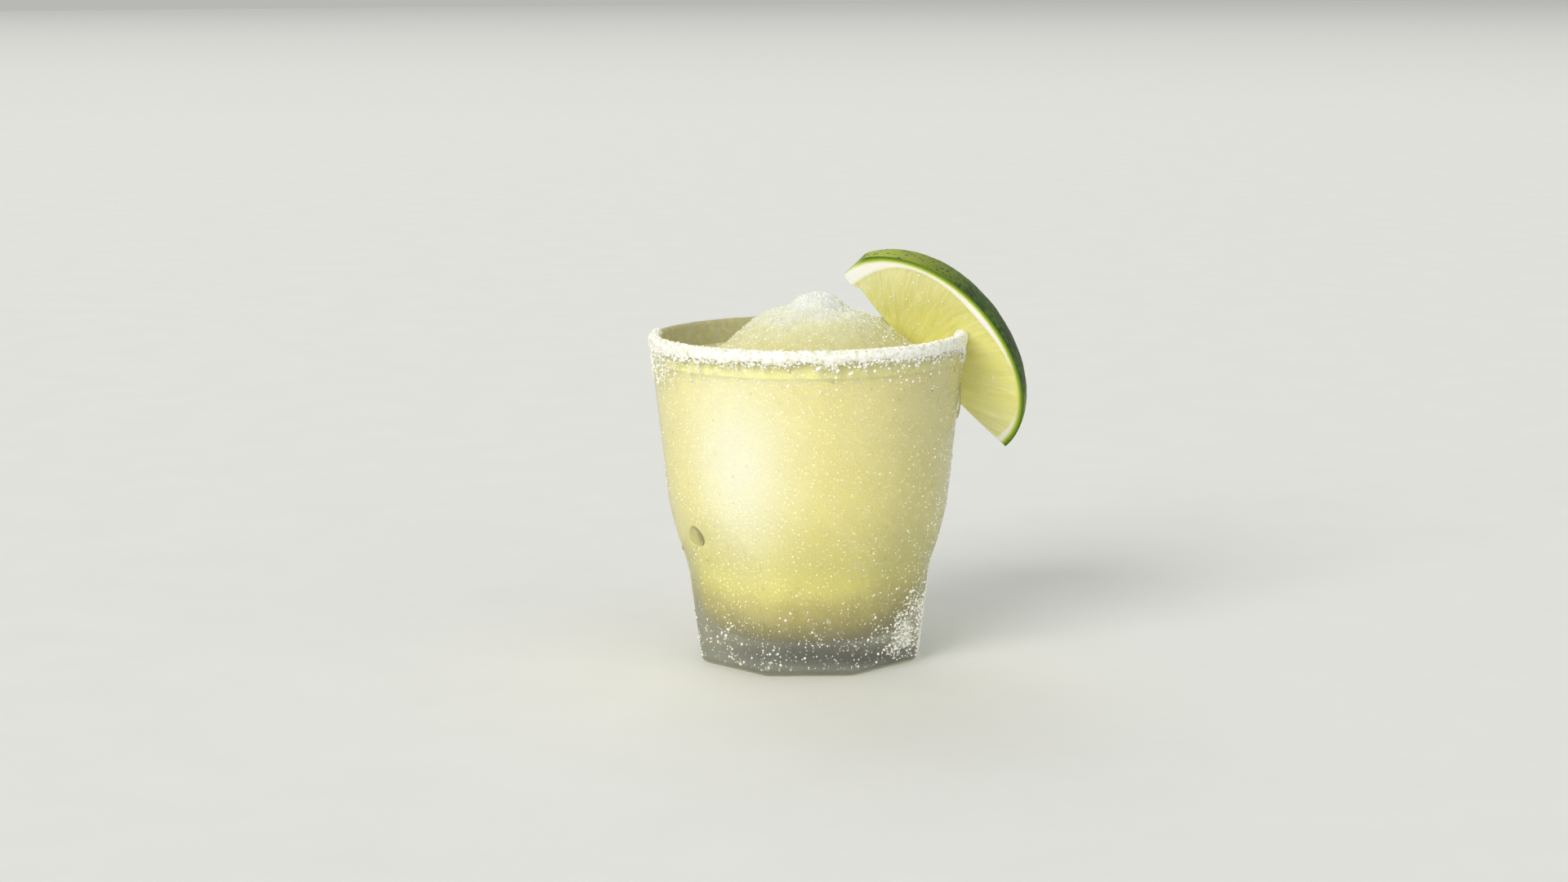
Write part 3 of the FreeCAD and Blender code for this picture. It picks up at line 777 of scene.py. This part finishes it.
# %% Where the salt lies
LIME_SIDE, LIME_EDGE_DROP = math.radians(34.0), 1.9
LIME_TILT = math.radians(48.8)
LIME_MIDDLE = np.array([RIM_RADIUS - 12.0, 10.0, RIM_HEIGHT - 7.4])
LIME_AXES = np.array([[math.cos(LIME_TILT), 0, -math.sin(LIME_TILT)],
                      [math.sin(LIME_TILT), 0, math.cos(LIME_TILT)],
                      [0, -1, 0]])


def before_lime(points):
    """How far points in millimetres lie in front of the lime's front face."""
    local = (points - LIME_MIDDLE) @ LIME_AXES.T
    return local[..., 2] * math.cos(LIME_SIDE) - (local[..., 1] + LIME_EDGE_DROP) * math.sin(LIME_SIDE)


def lip_line(outside, inside, count):
    """The lip's outline with its normals, from a depth down the outside to a depth down the inside."""
    spots, normals = [], []
    for height in np.linspace(RIM_HEIGHT - outside, RIM_HEIGHT - LIP, count):
        spots.append((taper_radius(height), height))
        normals.append((1.0, -0.1))
    for turn in np.radians(np.linspace(12, 168, count)):
        spots.append((lip_middle + LIP * math.cos(turn), RIM_HEIGHT - LIP + LIP * math.sin(turn)))
        normals.append((math.cos(turn), math.sin(turn)))
    for height in np.linspace(RIM_HEIGHT - LIP, RIM_HEIGHT - inside, count // 2):
        spots.append((lip_middle - LIP - 0.12 * (RIM_HEIGHT - LIP - height), height))
        normals.append((-1.0, 0.1))
    return np.array(spots), np.array(normals)


def round_the_lip(angles, outside, inside, count, proud):
    """A grid of points along the lip. outside, inside and proud give values for each angle."""
    grid, down = [], []
    for i, angle in enumerate(angles):
        spots, normals = lip_line(outside[i], inside[i], count)
        spots = spots + normals * proud[i][:len(spots), None]
        turned = np.column_stack([spots[:, 0] * math.cos(angle), spots[:, 0] * math.sin(angle), spots[:, 1]])
        grid.append(turned)
        down.append(RIM_HEIGHT - spots[:, 1])
    return np.array(grid), np.array(down)


SALT_FROM, SALT_TO = math.radians(167), math.radians(376)
SALT_STOPS = 430
salt_angles = np.linspace(SALT_FROM, SALT_TO, SALT_STOPS)
salt_ways = np.column_stack([np.cos(salt_angles), np.sin(salt_angles), np.zeros(SALT_STOPS)])
NEAR_RIM = 44
around = NEAR_RIM * salt_ways
ragged = 0.8 * wobble(around, 6.0, 21) + 0.6 * wobble(around, 2.3, 22)
rim_points = lip_middle * salt_ways + np.array([0, 0, RIM_HEIGHT])
lime_end = salt_angles[before_lime(rim_points) > 0][-1]
lump = np.exp(-((salt_angles - lime_end + 0.03) / 0.075) ** 2)
starts = np.clip((salt_angles - SALT_FROM) / 0.20, 0, 1)
skirt = (2.6 + 0.9 * ragged) * (0.35 + 0.65 * starts) + 4.6 * lump
inner_skirt = (1.7 + 0.4 * wobble(around, 4.0, 23)) * (0.5 + 0.5 * starts)
CORE_COUNT = 13
steps = 2 * CORE_COUNT + CORE_COUNT // 2
hump = np.sin(np.linspace(0.05, math.pi - 0.05, steps)) ** 0.6
fade = 0.12 + 0.88 * starts
proud = 0.55 * hump[None, :] * (fade + 0.9 * lump)[:, None]
core_grid, _ = round_the_lip(salt_angles, skirt, inner_skirt, CORE_COUNT, proud)
bumpy = (hump * fade[:, None])[..., None] * wobble(core_grid, 1.0, 24)[..., None]
core_grid += 0.28 * bumpy * np.array([0.4, 0.4, 1.0])
sunk_in = np.full((SALT_STOPS, steps), -0.2)
back_grid, _ = round_the_lip(salt_angles, skirt - 0.1, inner_skirt - 0.1, CORE_COUNT, sunk_in)
salt_rings = np.concatenate([core_grid, back_grid[:, ::-1]], axis=1)
kept = before_lime(core_grid.mean(axis=1)) > 0.3
salt_rings = salt_rings[kept]
salt_core = ring_mesh("salt_core", salt_rings[0].mean(0), salt_rings, salt_rings[-1].mean(0))
print("salt ends at", round(math.degrees(salt_angles[kept][-1])) - 360, "degrees round from +X")

# %% [markdown]
# Salt is white, with yellowish patches where it is damp. The grains are thick on the core, thin out below
# it, and lie in a loose cloud under the left corner. They stop before the lime.

# %% The salt's material and its grains
salt, tree, shader = new_material("coarse salt", {"IOR": 1.5})
cloudy = place_group(tree, mottle_tree, Size=0.9, Seed=3.0, Detail=1.0)
tint = add_ramp(tree, cloudy, [
    (0.3, srgb(222, 219, 184)), (0.46, srgb(247, 246, 232)), (0.6, srgb(255, 255, 252))])
tree.links.new(tint, shader.inputs["Base Color"])
tree.links.new(add_map(tree, cloudy, 0.3, 0.7, 0.25, 0.5), shader.inputs["Roughness"])
bump(tree, shader, place_group(tree, grain_tree, Size=0.35, Stretch=1.0), 0.08, 0.6)
finish_piece(salt_core, salt, "salt", "salt_crust")


def sheet_mesh(name, grid, loose):
    """An open sheet through a grid of points in millimetres, which only carries scattered bodies."""
    rows, columns = grid.shape[:2]
    place = np.arange(rows * columns).reshape(rows, columns)
    quads = np.stack([place[:-1, :-1], place[:-1, 1:], place[1:, 1:], place[1:, :-1]], -1).reshape(-1, 4)
    mesh = bpy.data.meshes.new(name)
    mesh.from_pydata((grid.reshape(-1, 3) * MM).tolist(), [], quads.tolist())
    layer = mesh.attributes.new("loose", "FLOAT", "POINT")
    layer.data.foreach_set("value", np.clip(loose, 0, None).ravel().astype(np.float32))
    return mesh


reach_down, reach_in = np.full(SALT_STOPS, 14.0), np.full(SALT_STOPS, 3.0)
FIELD_COUNT = 26
field_steps = 2 * FIELD_COUNT + FIELD_COUNT // 2
just_proud = np.full((SALT_STOPS, field_steps), 0.12)
salt_field, down = round_the_lip(salt_angles, reach_down, reach_in, FIELD_COUNT, just_proud)
outer_limit = skirt[:, None] + 1.5 + 0.9 * wobble(around, 1.6, 27)[:, None]
limit = np.where(np.arange(field_steps)[None, :] < FIELD_COUNT, outer_limit, inner_skirt[:, None] + 0.3)
within = np.clip((limit - down) / 1.6, 0, 1)
uneven = np.clip(0.8 + 1.3 * wobble(salt_field, 3.0, 25), 0.1, 2)
stray = 0.22 * np.exp(-np.clip(down - limit + 0.5, 0, None) / 1.9) * uneven
left_corner = np.exp(-((salt_angles - math.radians(190)) / 0.30) ** 2)[:, None]
broken = np.clip(0.35 + 1.3 * wobble(salt_field, 2.5, 26), 0, 1)
clump = 0.7 * left_corner * np.clip((13 - down) / 4, 0, 1) * broken
run_out = np.clip((salt_angles - SALT_FROM)[:, None] / 0.22 + 0.35 * wobble(salt_field, 2.2, 28), 0, 1)
amount = (within + stray + clump) * run_out
amount = amount * (before_lime(salt_field) > 0.45)
on_top = salt_field.copy()
on_top[:, 18:50, 2] += 0.4 * within[:, 18:50]
on_top[:, :40] += 0.45 * lump[:, None, None] * around[:, None] / NEAR_RIM
field = sheet_mesh("salt_field", on_top, amount)
scatter("salt_grains", TUMBLED, field, CRYSTAL, salt, "salt",
        Density=4.2e6, Smallest=0.4, Largest=1.25, Lift=0.2, Seed=5)

# %% [markdown]
# ## The lime wedge
# It is a sixth of a lime, cut lengthwise, slit from its inner edge and pushed over the lip. Rings across
# the lime's own axis make it: along one cut face, round the rind, back along the other face, and over
# the narrow inner edge. While each point is placed, it keeps how far it lies from the axis as a share of
# the rind's radius, and where it lies along the peel. The material needs those two values for rind, pith,
# flesh and the juice sacs, which point from the peel to the core. The front face is flared, so that its
# rind stands out a little further than the CAD's and leaves room for a wide pith.

# %% The lime's shape
LIME_RADIUS, STEM_HALF, TIP_HALF = 24.8, 33.5, 36.3
BACK_SIDE = math.radians(26.0)
stem_turns = np.linspace(-math.asin(31.7 / STEM_HALF), 0, 84)[:-1]
tip_turns = np.linspace(0, math.radians(87.5), 104)
stations = np.concatenate([STEM_HALF * np.sin(stem_turns), TIP_HALF * np.sin(tip_turns)])
radii = LIME_RADIUS * np.concatenate([np.cos(stem_turns), np.cos(tip_turns)])
FACE, RIND, CORE = 66, 58, 5
FLARE = 0.09


def wedge_ring(x, radius):
    """One ring across the lime: up the front face, round the rind, down the back, over the inner edge."""
    inner = -1.6 + 1.9 * (x / STEM_HALF) ** 2 - 1.7 * float(np.clip((-26.0 - x) / 2.5, 0, 1)) ** 0.7
    points = []
    for side, count in ((LIME_SIDE, FACE), (-BACK_SIDE, FACE)):
        along = np.array([math.cos(side), math.sin(side)])
        start = (inner + LIME_EDGE_DROP) / math.cos(side)
        inside = LIME_EDGE_DROP * math.cos(side)
        rim = radius * (1 + FLARE * (side > 0))
        end = inside + math.sqrt(max(rim ** 2 - (LIME_EDGE_DROP * math.sin(side)) ** 2, 1e-6))
        lengths = np.linspace(start, max(end, start + 0.02), count)
        points.append(np.array([-LIME_EDGE_DROP, 0.0]) + lengths[:, None] * along)
    front, back = points[0], points[1][::-1]
    a, b = (math.atan2(p[1], p[0]) for p in (front[-1], back[0]))
    turns = np.linspace(a, b, RIND + 2)[1:-1]
    swell = 1 + FLARE * np.clip(turns / a, 0, 1) ** 2
    rind = (radius * swell)[:, None] * np.column_stack([np.cos(turns), np.sin(turns)])
    core = np.linspace(back[-1], front[0], CORE + 2)[1:-1]
    loop = np.vstack([front, rind, back, core])
    for _ in range(2):
        loop = 0.5 * loop + 0.25 * np.roll(loop, 1, axis=0) + 0.25 * np.roll(loop, -1, axis=0)
    return loop


loops = np.array([wedge_ring(x, radius) for x, radius in zip(stations, radii)])
count = loops.shape[1]
lime_local = np.concatenate([np.repeat(stations[:, None, None], count, 1), loops], axis=2)
x, y, z = lime_local[..., 0], lime_local[..., 1], lime_local[..., 2]
from_axis = np.hypot(y, z)
long_half = np.where(x < 0, STEM_HALF, TIP_HALF)
is_face = np.zeros(count)
is_face[2:FACE - 1] = 1
is_face[FACE + RIND + 1:2 * FACE + RIND - 2] = -1
in_front = np.arange(count) < FACE
skin = np.hypot(x / long_half, from_axis / (LIME_RADIUS * np.where(in_front, 1 + FLARE, 1)))
flesh_long = np.where(x < 0, 28.0, 33.0)
flesh_wide = np.where(in_front, 24.0, 22.9)
flesh = ((np.abs(x) / flesh_long) ** 2.5 + (from_axis / flesh_wide) ** 2.5) ** (1 / 2.5)
fan = np.arctan2(x, from_axis + 9.0)

# %% [markdown]
# A cut face isn't flat. The sacs stand as low long ridges, the flesh lies a little lower than the pith, and
# the rind has pores. These are moves of a tenth of a millimetre or two, along the face's own direction.

# %% Relief on the lime
sac_place = np.stack([fan * 17.0, skin * 2.6, np.full_like(fan, 0.5)], -1)
swirl = 0.35 * wobble(lime_local, 6.0, 31)
sac_place[..., 0] += swirl
ridges = wobble(sac_place, 0.5, 32) + 0.5 * wobble(sac_place, 0.26, 33)
in_flesh = np.clip((1.0 - flesh) / 0.04, 0, 1)
rise = in_flesh * (0.15 * ridges - 0.22) + (1 - in_flesh) * 0.05 * wobble(lime_local, 0.8, 34)
front_way = np.array([0, -math.sin(LIME_SIDE), math.cos(LIME_SIDE)])
back_way = np.array([0, -math.sin(BACK_SIDE), -math.cos(BACK_SIDE)])
ways = np.where(is_face[None, :, None] > 0, front_way, back_way) * np.abs(is_face)[None, :, None]
lime_local = lime_local + rise[..., None] * ways
outward = np.stack([np.zeros_like(y), y, z], -1) / np.maximum(from_axis, 0.1)[..., None]
on_rind = np.zeros(count)
on_rind[FACE:FACE + RIND] = 1
pores = 0.10 * wobble(lime_local, 1.3, 35) + 0.18 * wobble(lime_local, 7.0, 36)
lime_local = lime_local + (pores * on_rind)[..., None] * outward


def to_world(local):
    """From the lime's own directions to the row frame, in millimetres."""
    return local @ LIME_AXES + LIME_MIDDLE


def with_ends(values, first, last):
    """The values of the end points round a grid's values, flat."""
    return np.concatenate([[first], values.ravel(), [last]])


start_point = to_world(lime_local[0].mean(0))
end_point = to_world(lime_local[-1].mean(0))
values = {"skin": with_ends(skin, 0.97, 1.0), "flesh": with_ends(flesh, 1.2, 1.2),
          "across": with_ends(sac_place[..., 0], 0, 0), "depth": with_ends(sac_place[..., 1], 0, 0),
          "stem": with_ends(0.8 * np.clip((-x - 6) / 22, 0, 1) + 0.6 * np.clip((x - 25) / 9, 0, 1), 0, 0),
          "outside": with_ends(np.broadcast_to(on_rind, skin.shape).astype(float), 0, 0)}
lime = ring_mesh("lime", start_point, to_world(lime_local), end_point, values)

# %% [markdown]
# The slit is cut last with a Boolean, because it has to follow the glass and not the lime. Its cutter is
# the wall with a little air round it. Over the lip the air thins to nothing, since the wedge rests there.

# %% The slit
GAP = 0.15
SLIT_FOOT = 45.0
slit_line = [(36.6 - GAP, SLIT_FOOT), (39.7 + GAP, SLIT_FOOT)]
for turn in np.radians(np.arange(0, 181, 20)):
    beside_lip = LIP + GAP
    over_lip = LIP + GAP * math.cos(turn) ** 2
    slit_line.append((lip_middle + beside_lip * math.cos(turn), RIM_HEIGHT - LIP + over_lip * math.sin(turn)))
slit_rings = np.array([[(r * math.cos(a), r * math.sin(a), h) for r, h in slit_line]
                       for a in np.radians(np.arange(-40, 80.1, 1.5))])
cutter = ring_mesh("slit_cutter", slit_rings[0].mean(0), slit_rings, slit_rings[-1].mean(0))
cut = lime.modifiers.new("slit", "BOOLEAN")
cut.operation, cut.solver, cut.object = "DIFFERENCE", "EXACT", cutter
bpy.context.view_layer.update()
slit_lime = bpy.data.meshes.new_from_object(lime.evaluated_get(bpy.context.evaluated_depsgraph_get()))
lime.modifiers.clear()
lime.data = slit_lime
bpy.data.objects.remove(cutter)
print("lime with its slit:", len(slit_lime.polygons), "faces")

# %% [markdown]
# From outside in: a dark green waxy rind full of oil glands, a thin line of yellow-green, white pith
# that is thick at both ends, and pale flesh. The juice sacs are long cells that point inwards, so a Voronoi
# pattern is laid on the two stored values, which stretch it the right way. Wet flesh gets a thin coat.

# %% The lime's material
lime_look, tree, shader = new_material("cut lime", {
    "Subsurface Weight": 0.35, "Subsurface Scale": 0.0025, "Subsurface Radius": (1.0, 0.95, 0.4),
    "Coat Roughness": 0.12, "IOR": 1.4, "Specular IOR Level": 0.35})


def stored(key):
    """A value that the mesh carries at each point."""
    return add(tree, "ShaderNodeAttribute", {"attribute_name": key}).outputs["Fac"]


sac_uv = add(tree, "ShaderNodeCombineXYZ", None, X=stored("across"),
             Y=add_math(tree, "MULTIPLY", stored("depth"), 0.75))
sacs = add(tree, "ShaderNodeTexVoronoi", {"feature": "DISTANCE_TO_EDGE"}, Vector=sac_uv.outputs[0], Scale=1.7)
wall_line = add_map(tree, sacs.outputs["Distance"], 0.0, 0.10, 1.0, 0.0)
tone = add(tree, "ShaderNodeTexVoronoi", {"feature": "F1"}, Vector=sac_uv.outputs[0], Scale=1.7)
each = add(tree, "ShaderNodeSeparateColor", None, Color=tone.outputs["Color"]).outputs[0]
# The flesh tone changes with height: the lower middle is painted lighter, a painted light that fills the
# shadow the glass casts on the lower face.
flesh_light_by_height = place_group(tree, height_tree, Low=RIM_HEIGHT - 34.0, High=RIM_HEIGHT + 16.0, Waver=6.0)
flesh_tone_painted_light = add_ramp(tree, flesh_light_by_height, [
    (0.0, srgb(244, 243, 190)), (0.31, srgb(253, 249, 160)), (0.59, srgb(246, 241, 146)),
    (0.8, srgb(226, 222, 136)), (1.0, srgb(236, 232, 174))])
juicy = add_blend(tree, add_map(tree, each, 0.0, 1.0, 0.0, 0.3), flesh_tone_painted_light, srgb(200, 198, 108))
walled = add_blend(tree, add_math(tree, "MULTIPLY", wall_line, 0.35), juicy, srgb(242, 240, 196))
pale_core = add_map(tree, stored("flesh"), 0.975, 1.005)
white_pith = add_blend(tree, pale_core, walled, srgb(255, 254, 247))
edge = add_ramp(tree, stored("skin"), [
    (0.0, (0, 0, 0)), (0.932, (0, 0, 0)), (0.95, (0.7, 0.7, 0.7)), (0.965, (1, 1, 1))])
green_line = add_ramp(tree, stored("skin"), [
    (0.945, srgb(214, 220, 110)), (0.965, srgb(170, 188, 52)),
    (0.982, srgb(112, 142, 36)), (0.996, srgb(66, 100, 26))])
cut_face = add_blend(tree, edge, white_pith, green_line)
patch = place_group(tree, mottle_tree, Size=9.0, Seed=1.0, Detail=3.0)
rind_tone = add_ramp(tree, patch, [
    (0.3, srgb(30, 54, 12)), (0.5, srgb(44, 74, 18)), (0.68, srgb(78, 108, 28))])
rind_tone = add_blend(tree, stored("stem"), rind_tone, srgb(176, 188, 44))
pebble = place_group(tree, mottle_tree, Size=1.6, Seed=9.0, Detail=3.0)
rind_tone = add_blend(tree, add_map(tree, pebble, 0.44, 0.68, 0.0, 0.4), rind_tone, srgb(124, 150, 48))
glands = place_group(tree, speck_tree, Size=1.7, Share=0.75)
rind_tone = add_blend(tree, add_map(tree, glands, 0.0, 1.0, 0.0, 0.85), rind_tone, srgb(24, 40, 12))
tree.links.new(add_blend(tree, stored("outside"), cut_face, rind_tone), shader.inputs["Base Color"])
tree.links.new(add_map(tree, stored("outside"), 0.0, 1.0, 0.3, 0.55), shader.inputs["Roughness"])
tree.links.new(add_map(tree, stored("flesh"), 0.9, 1.0, 0.5, 0.0), shader.inputs["Coat Weight"])
pitted = add_math(tree, "MULTIPLY", glands, add_math(tree, "MULTIPLY", stored("outside"), -0.6))
relief = add_math(tree, "ADD", add_math(tree, "MULTIPLY", wall_line, -0.5), pitted)
bump(tree, shader, relief, 0.12, 0.6)
finish_piece(lime, lime_look, "lime", "lime_wedge")

# %% [markdown]
# A few grains of salt and drops of juice have jumped onto the cut face. They are small and bright, and most
# of them lie on the upper half.

# %% Specks on the cut face
front_face = to_world(lime_local[:, 2:FACE - 1])
on_flesh = in_flesh[:, 2:FACE - 1] * np.clip((front_face[..., 2] - 70) / 30, 0.15, 1)
specks = on_flesh * np.clip(0.5 + 1.5 * wobble(front_face, 5.0, 37), 0.05, 1.5)
speck_sheet = sheet_mesh("cut_face", front_face, specks)
scatter("lime_specks", TUMBLED, speck_sheet, CRYSTAL, salt, "lime",
        Density=5.0e5, Smallest=0.22, Largest=0.6, Lift=0.1, Seed=17)

# %% [markdown]
# ## Water on the glass
# The mist gathers into drops, from a third of a millimetre up to a little over one. It is patchy, and
# thickest low down and on the right. The drops are real domes of water, in two kinds so that the tiny ones
# can have few faces.

# %% Water beads
water, tree, shader = new_material("beads of water", {
    "Base Color": (0.84, 0.83, 0.74, 1.0), "Transmission Weight": 1.0, "IOR": 1.28,
    "Specular IOR Level": 1.0})
wet = place_group(tree, mottle_tree, Size=2.0, Seed=4.0, Detail=1.0)
tree.links.new(add_map(tree, wet, 0.3, 0.7, 0.02, 0.10), shader.inputs["Roughness"])
lets_light_in(tree, shader, (0.96, 0.97, 0.94))

bead_field = np.concatenate([outside_wall, outside_wall[:, :1]], axis=1)
patches = 0.8 + 0.5 * wobble(bead_field, 16.0, 41) + 0.3 * wobble(bead_field, 5.0, 42)
low_down = 1.0 + 1.2 * np.exp(-bead_field[..., 2] / 18.0)
to_right = 1.0 + 0.9 * np.clip(bead_field[..., 0] / 40.0, 0, 1) ** 2
mist = np.clip(patches, 0.15, 1.4) * low_down * to_right
mist_sheet = sheet_mesh("mist_field", bead_field, mist)
scatter("fine_mist", LYING, mist_sheet, TINY_BEAD, water, "glass",
        Density=2.6e4, Smallest=0.35, Largest=0.7, Squash=0.7, Seed=7, Smooth=True)
scatter("water_beads", LYING, mist_sheet, BEAD, water, "glass",
        Density=0.9e4, Smallest=0.6, Largest=1.3, Squash=0.6, Seed=9, Smooth=True)

# %% [markdown]
# A glass from the freezer also carries rime and salt dust. They are white specks, a quarter to half a
# millimetre wide. They are sparse on the upper wall, thick on the lower right edge, and thickest on the
# foot's right corner, where larger grains lie too. The ribs of the foot carry more, partly frost on the edges
# and partly a painted glint along them.

# %% Rime
rime, tree, shader = new_material("rime and salt dust", {"Roughness": 0.45, "IOR": 1.31})
cloudy = place_group(tree, mottle_tree, Size=1.0, Seed=12.0, Detail=1.0)
white = add_ramp(tree, cloudy, [(0.3, srgb(244, 243, 228)), (0.7, srgb(255, 255, 252))])
tree.links.new(white, shader.inputs["Base Color"])
bearing = np.degrees(np.arctan2(bead_field[..., 1], bead_field[..., 0]))
high = bead_field[..., 2]
clumps = np.clip(0.7 + 1.2 * wobble(bead_field, 6.0, 45), 0.15, 1.6)
corner = (0.03 + 1.3 * np.exp(-((bearing + 16) / 19) ** 2)) * np.exp(-((high - 9.5) / 7.5) ** 2) * clumps
edge = np.exp(-((bearing + 14) / 20) ** 2) * np.exp(-((high - 34) / 20) ** 2)
foot = 0.12 * np.exp(-((high - 5) / 6) ** 2)
PANEL_ARC = 360 / PANELS
from_rib = bearing % PANEL_ARC - PANEL_ARC / 2
# White specks along the ribs: partly frost on the edges, partly a painted glint.
rib_frost_and_glint = 3.5 * np.exp(-(from_rib / 1.2) ** 2) * (high < 11)
patchy_rime = np.clip(0.7 + 1.1 * wobble(bead_field, 5.0, 43), 0.05, 2)
rime_amount = (0.24 + 2.5 * corner + 0.9 * edge + foot + rib_frost_and_glint) * patchy_rime
scatter("rime", TUMBLED, sheet_mesh("rime_field", bead_field, rime_amount), SHARD, rime, "glass",
        Density=6.0e5, Smallest=0.25, Largest=0.5, Seed=13)
scatter("foot_frost", TUMBLED, sheet_mesh("corner_field", bead_field, corner), CRYSTAL, rime, "glass",
        Density=9.0e6, Smallest=0.35, Largest=0.9, Seed=15)

# %% [markdown]
# One big drop hangs on the left shoulder, and a run of water has stopped near the right edge. Both have
# misted over, so they are rougher than the beads and bend light less.

# %% The drop and the run
def hanging_drop(name, angle, height, width, length, thick):
    """One drop on the outside of the glass, longer than wide and fuller at its lower end."""
    rings = []
    for share in np.linspace(0.12, 1, 9):
        ring = []
        for turn in np.linspace(0, FULL_TURN, 28, endpoint=False):
            up = share * math.sin(turn) * length / 2
            taper = 1 - 0.22 * share * math.sin(turn)
            sideways = share * math.cos(turn) * width / 2 * taper
            full = thick * math.sqrt(max(1 - share ** 2, 0)) * (1 - 0.25 * math.sin(turn) * share)
            here = angle + sideways / outer_radius(angle, height)
            radius = float(outer_radius(here, height + up)) + full - (0.15 if share > 0.99 else 0)
            ring.append((radius * math.cos(here), radius * math.sin(here), height + up))
        rings.append(ring)
    crown = float(outer_radius(angle, height)) + thick
    foot = float(outer_radius(angle, height)) - 0.15
    return ring_mesh(name, (crown * math.cos(angle), crown * math.sin(angle), height), np.array(rings),
                     (foot * math.cos(angle), foot * math.sin(angle), height))


big_drop = hanging_drop("big_drop", math.radians(214.5), 38.5, 5.6, 6.0, 0.7)
misted, tree, shader = new_material("misted drop", {
    "Transmission Weight": 1.0, "IOR": 1.12, "Coat Weight": 0.5, "Coat Roughness": 0.3})
wet = place_group(tree, mottle_tree, Size=2.0, Seed=4.0, Detail=1.0)
tree.links.new(add_map(tree, wet, 0.3, 0.7, 0.30, 0.36), shader.inputs["Roughness"])
pale_yellow = add_ramp(tree, wet, [(0.3, (0.72, 0.70, 0.52)), (0.7, (0.80, 0.78, 0.60))])
tree.links.new(pale_yellow, shader.inputs["Base Color"])
lets_light_in(tree, shader, (0.96, 0.97, 0.94))
finish_piece(big_drop, misted, "glass")
trickle = hanging_drop("frozen_trickle", math.radians(354), 73.5, 2.6, 11.0, 0.9)
finish_piece(trickle, misted, "glass")

# %% [markdown]
# ## Floor, light and camera
# The set is a wide pale floor, so that it looks the same from every side. One large soft light stands at
# the front left. A weak one at the front right, one behind, and even light from all round keep the
# right side darker but clear.

# %% The floor and the lights
turns = np.linspace(0, FULL_TURN, 96, endpoint=False)
disc = np.column_stack([np.cos(turns), np.sin(turns), np.zeros(96)])
floor_rings = np.array([disc * reach for reach in (400.0, 3000.0, 16000.0)])
under = floor_rings[::-1] + np.array([0, 0, -12.0])
floor = ring_mesh("floor", (0, 0, 0), np.concatenate([floor_rings, under]), (0, 0, -12.0))
pale, tree, shader = new_material("pale floor", {"Roughness": 0.8})
even = place_group(tree, mottle_tree, Size=30.0, Seed=6.0, Detail=4.0)
floor_tone = add_ramp(tree, even, [(0.3, (0.785, 0.79, 0.765)), (0.7, (0.805, 0.81, 0.785))])
tree.links.new(floor_tone, shader.inputs["Base Color"])
floor.data.materials.append(pale)


def far_light(name, bearing, height, spread, power, colour):
    """A distant soft light, in degrees: its bearing to the left of the front, its height and its width."""
    light = bpy.data.lights.new(name, "SUN")
    light.energy, light.angle, light.color = power, math.radians(spread), colour
    lamp = bpy.data.objects.new(name, light)
    a, h = math.radians(bearing), math.radians(height)
    towards = Vector((-math.sin(a) * math.cos(h), -math.cos(a) * math.cos(h), math.sin(h)))
    lamp.rotation_euler = towards.to_track_quat("Z", "Y").to_euler()
    bpy.context.scene.collection.objects.link(lamp)


far_light("key", 36.0, 30.0, 36.0, 1.98, (1.0, 0.985, 0.955))
far_light("fill", -48.0, 22.0, 50.0, 0.32, (0.98, 1.0, 0.99))
far_light("behind", 165.0, 40.0, 40.0, 0.5, (1.0, 1.0, 0.98))
world = bpy.data.worlds.new("even light")
bpy.context.scene.world = world
world.use_nodes = True
world.node_tree.nodes["Background"].inputs["Color"].default_value = (0.98, 0.99, 0.96, 1.0)
world.node_tree.nodes["Background"].inputs["Strength"].default_value = 0.49

# %% [markdown]
# The camera is where a person seated at the table would hold it, and looks down at the drink a little.

# %% The camera
PITCH, ROLL = math.radians(9.374), math.radians(-0.411)
ahead = Vector((0, math.cos(PITCH), -math.sin(PITCH)))
level_right = Vector((1, 0, 0))
level_up = level_right.cross(ahead)
right = level_right * math.cos(ROLL) + level_up * math.sin(ROLL)
up = level_up * math.cos(ROLL) - level_right * math.sin(ROLL)
camera = bpy.data.objects.new("camera", bpy.data.cameras.new("camera"))
camera.data.lens, camera.data.sensor_width = 65.445, 36.0
camera.data.clip_start, camera.data.clip_end = 0.05, 20.0
pose = Matrix((right, up, -ahead)).transposed().to_4x4()
pose.translation = Vector((-6.729, -800.0, 193.61)) * MM
camera.matrix_world = pose
bpy.context.scene.collection.objects.link(camera)
bpy.context.scene.camera = camera
bpy.context.scene.view_settings.view_transform = "Standard"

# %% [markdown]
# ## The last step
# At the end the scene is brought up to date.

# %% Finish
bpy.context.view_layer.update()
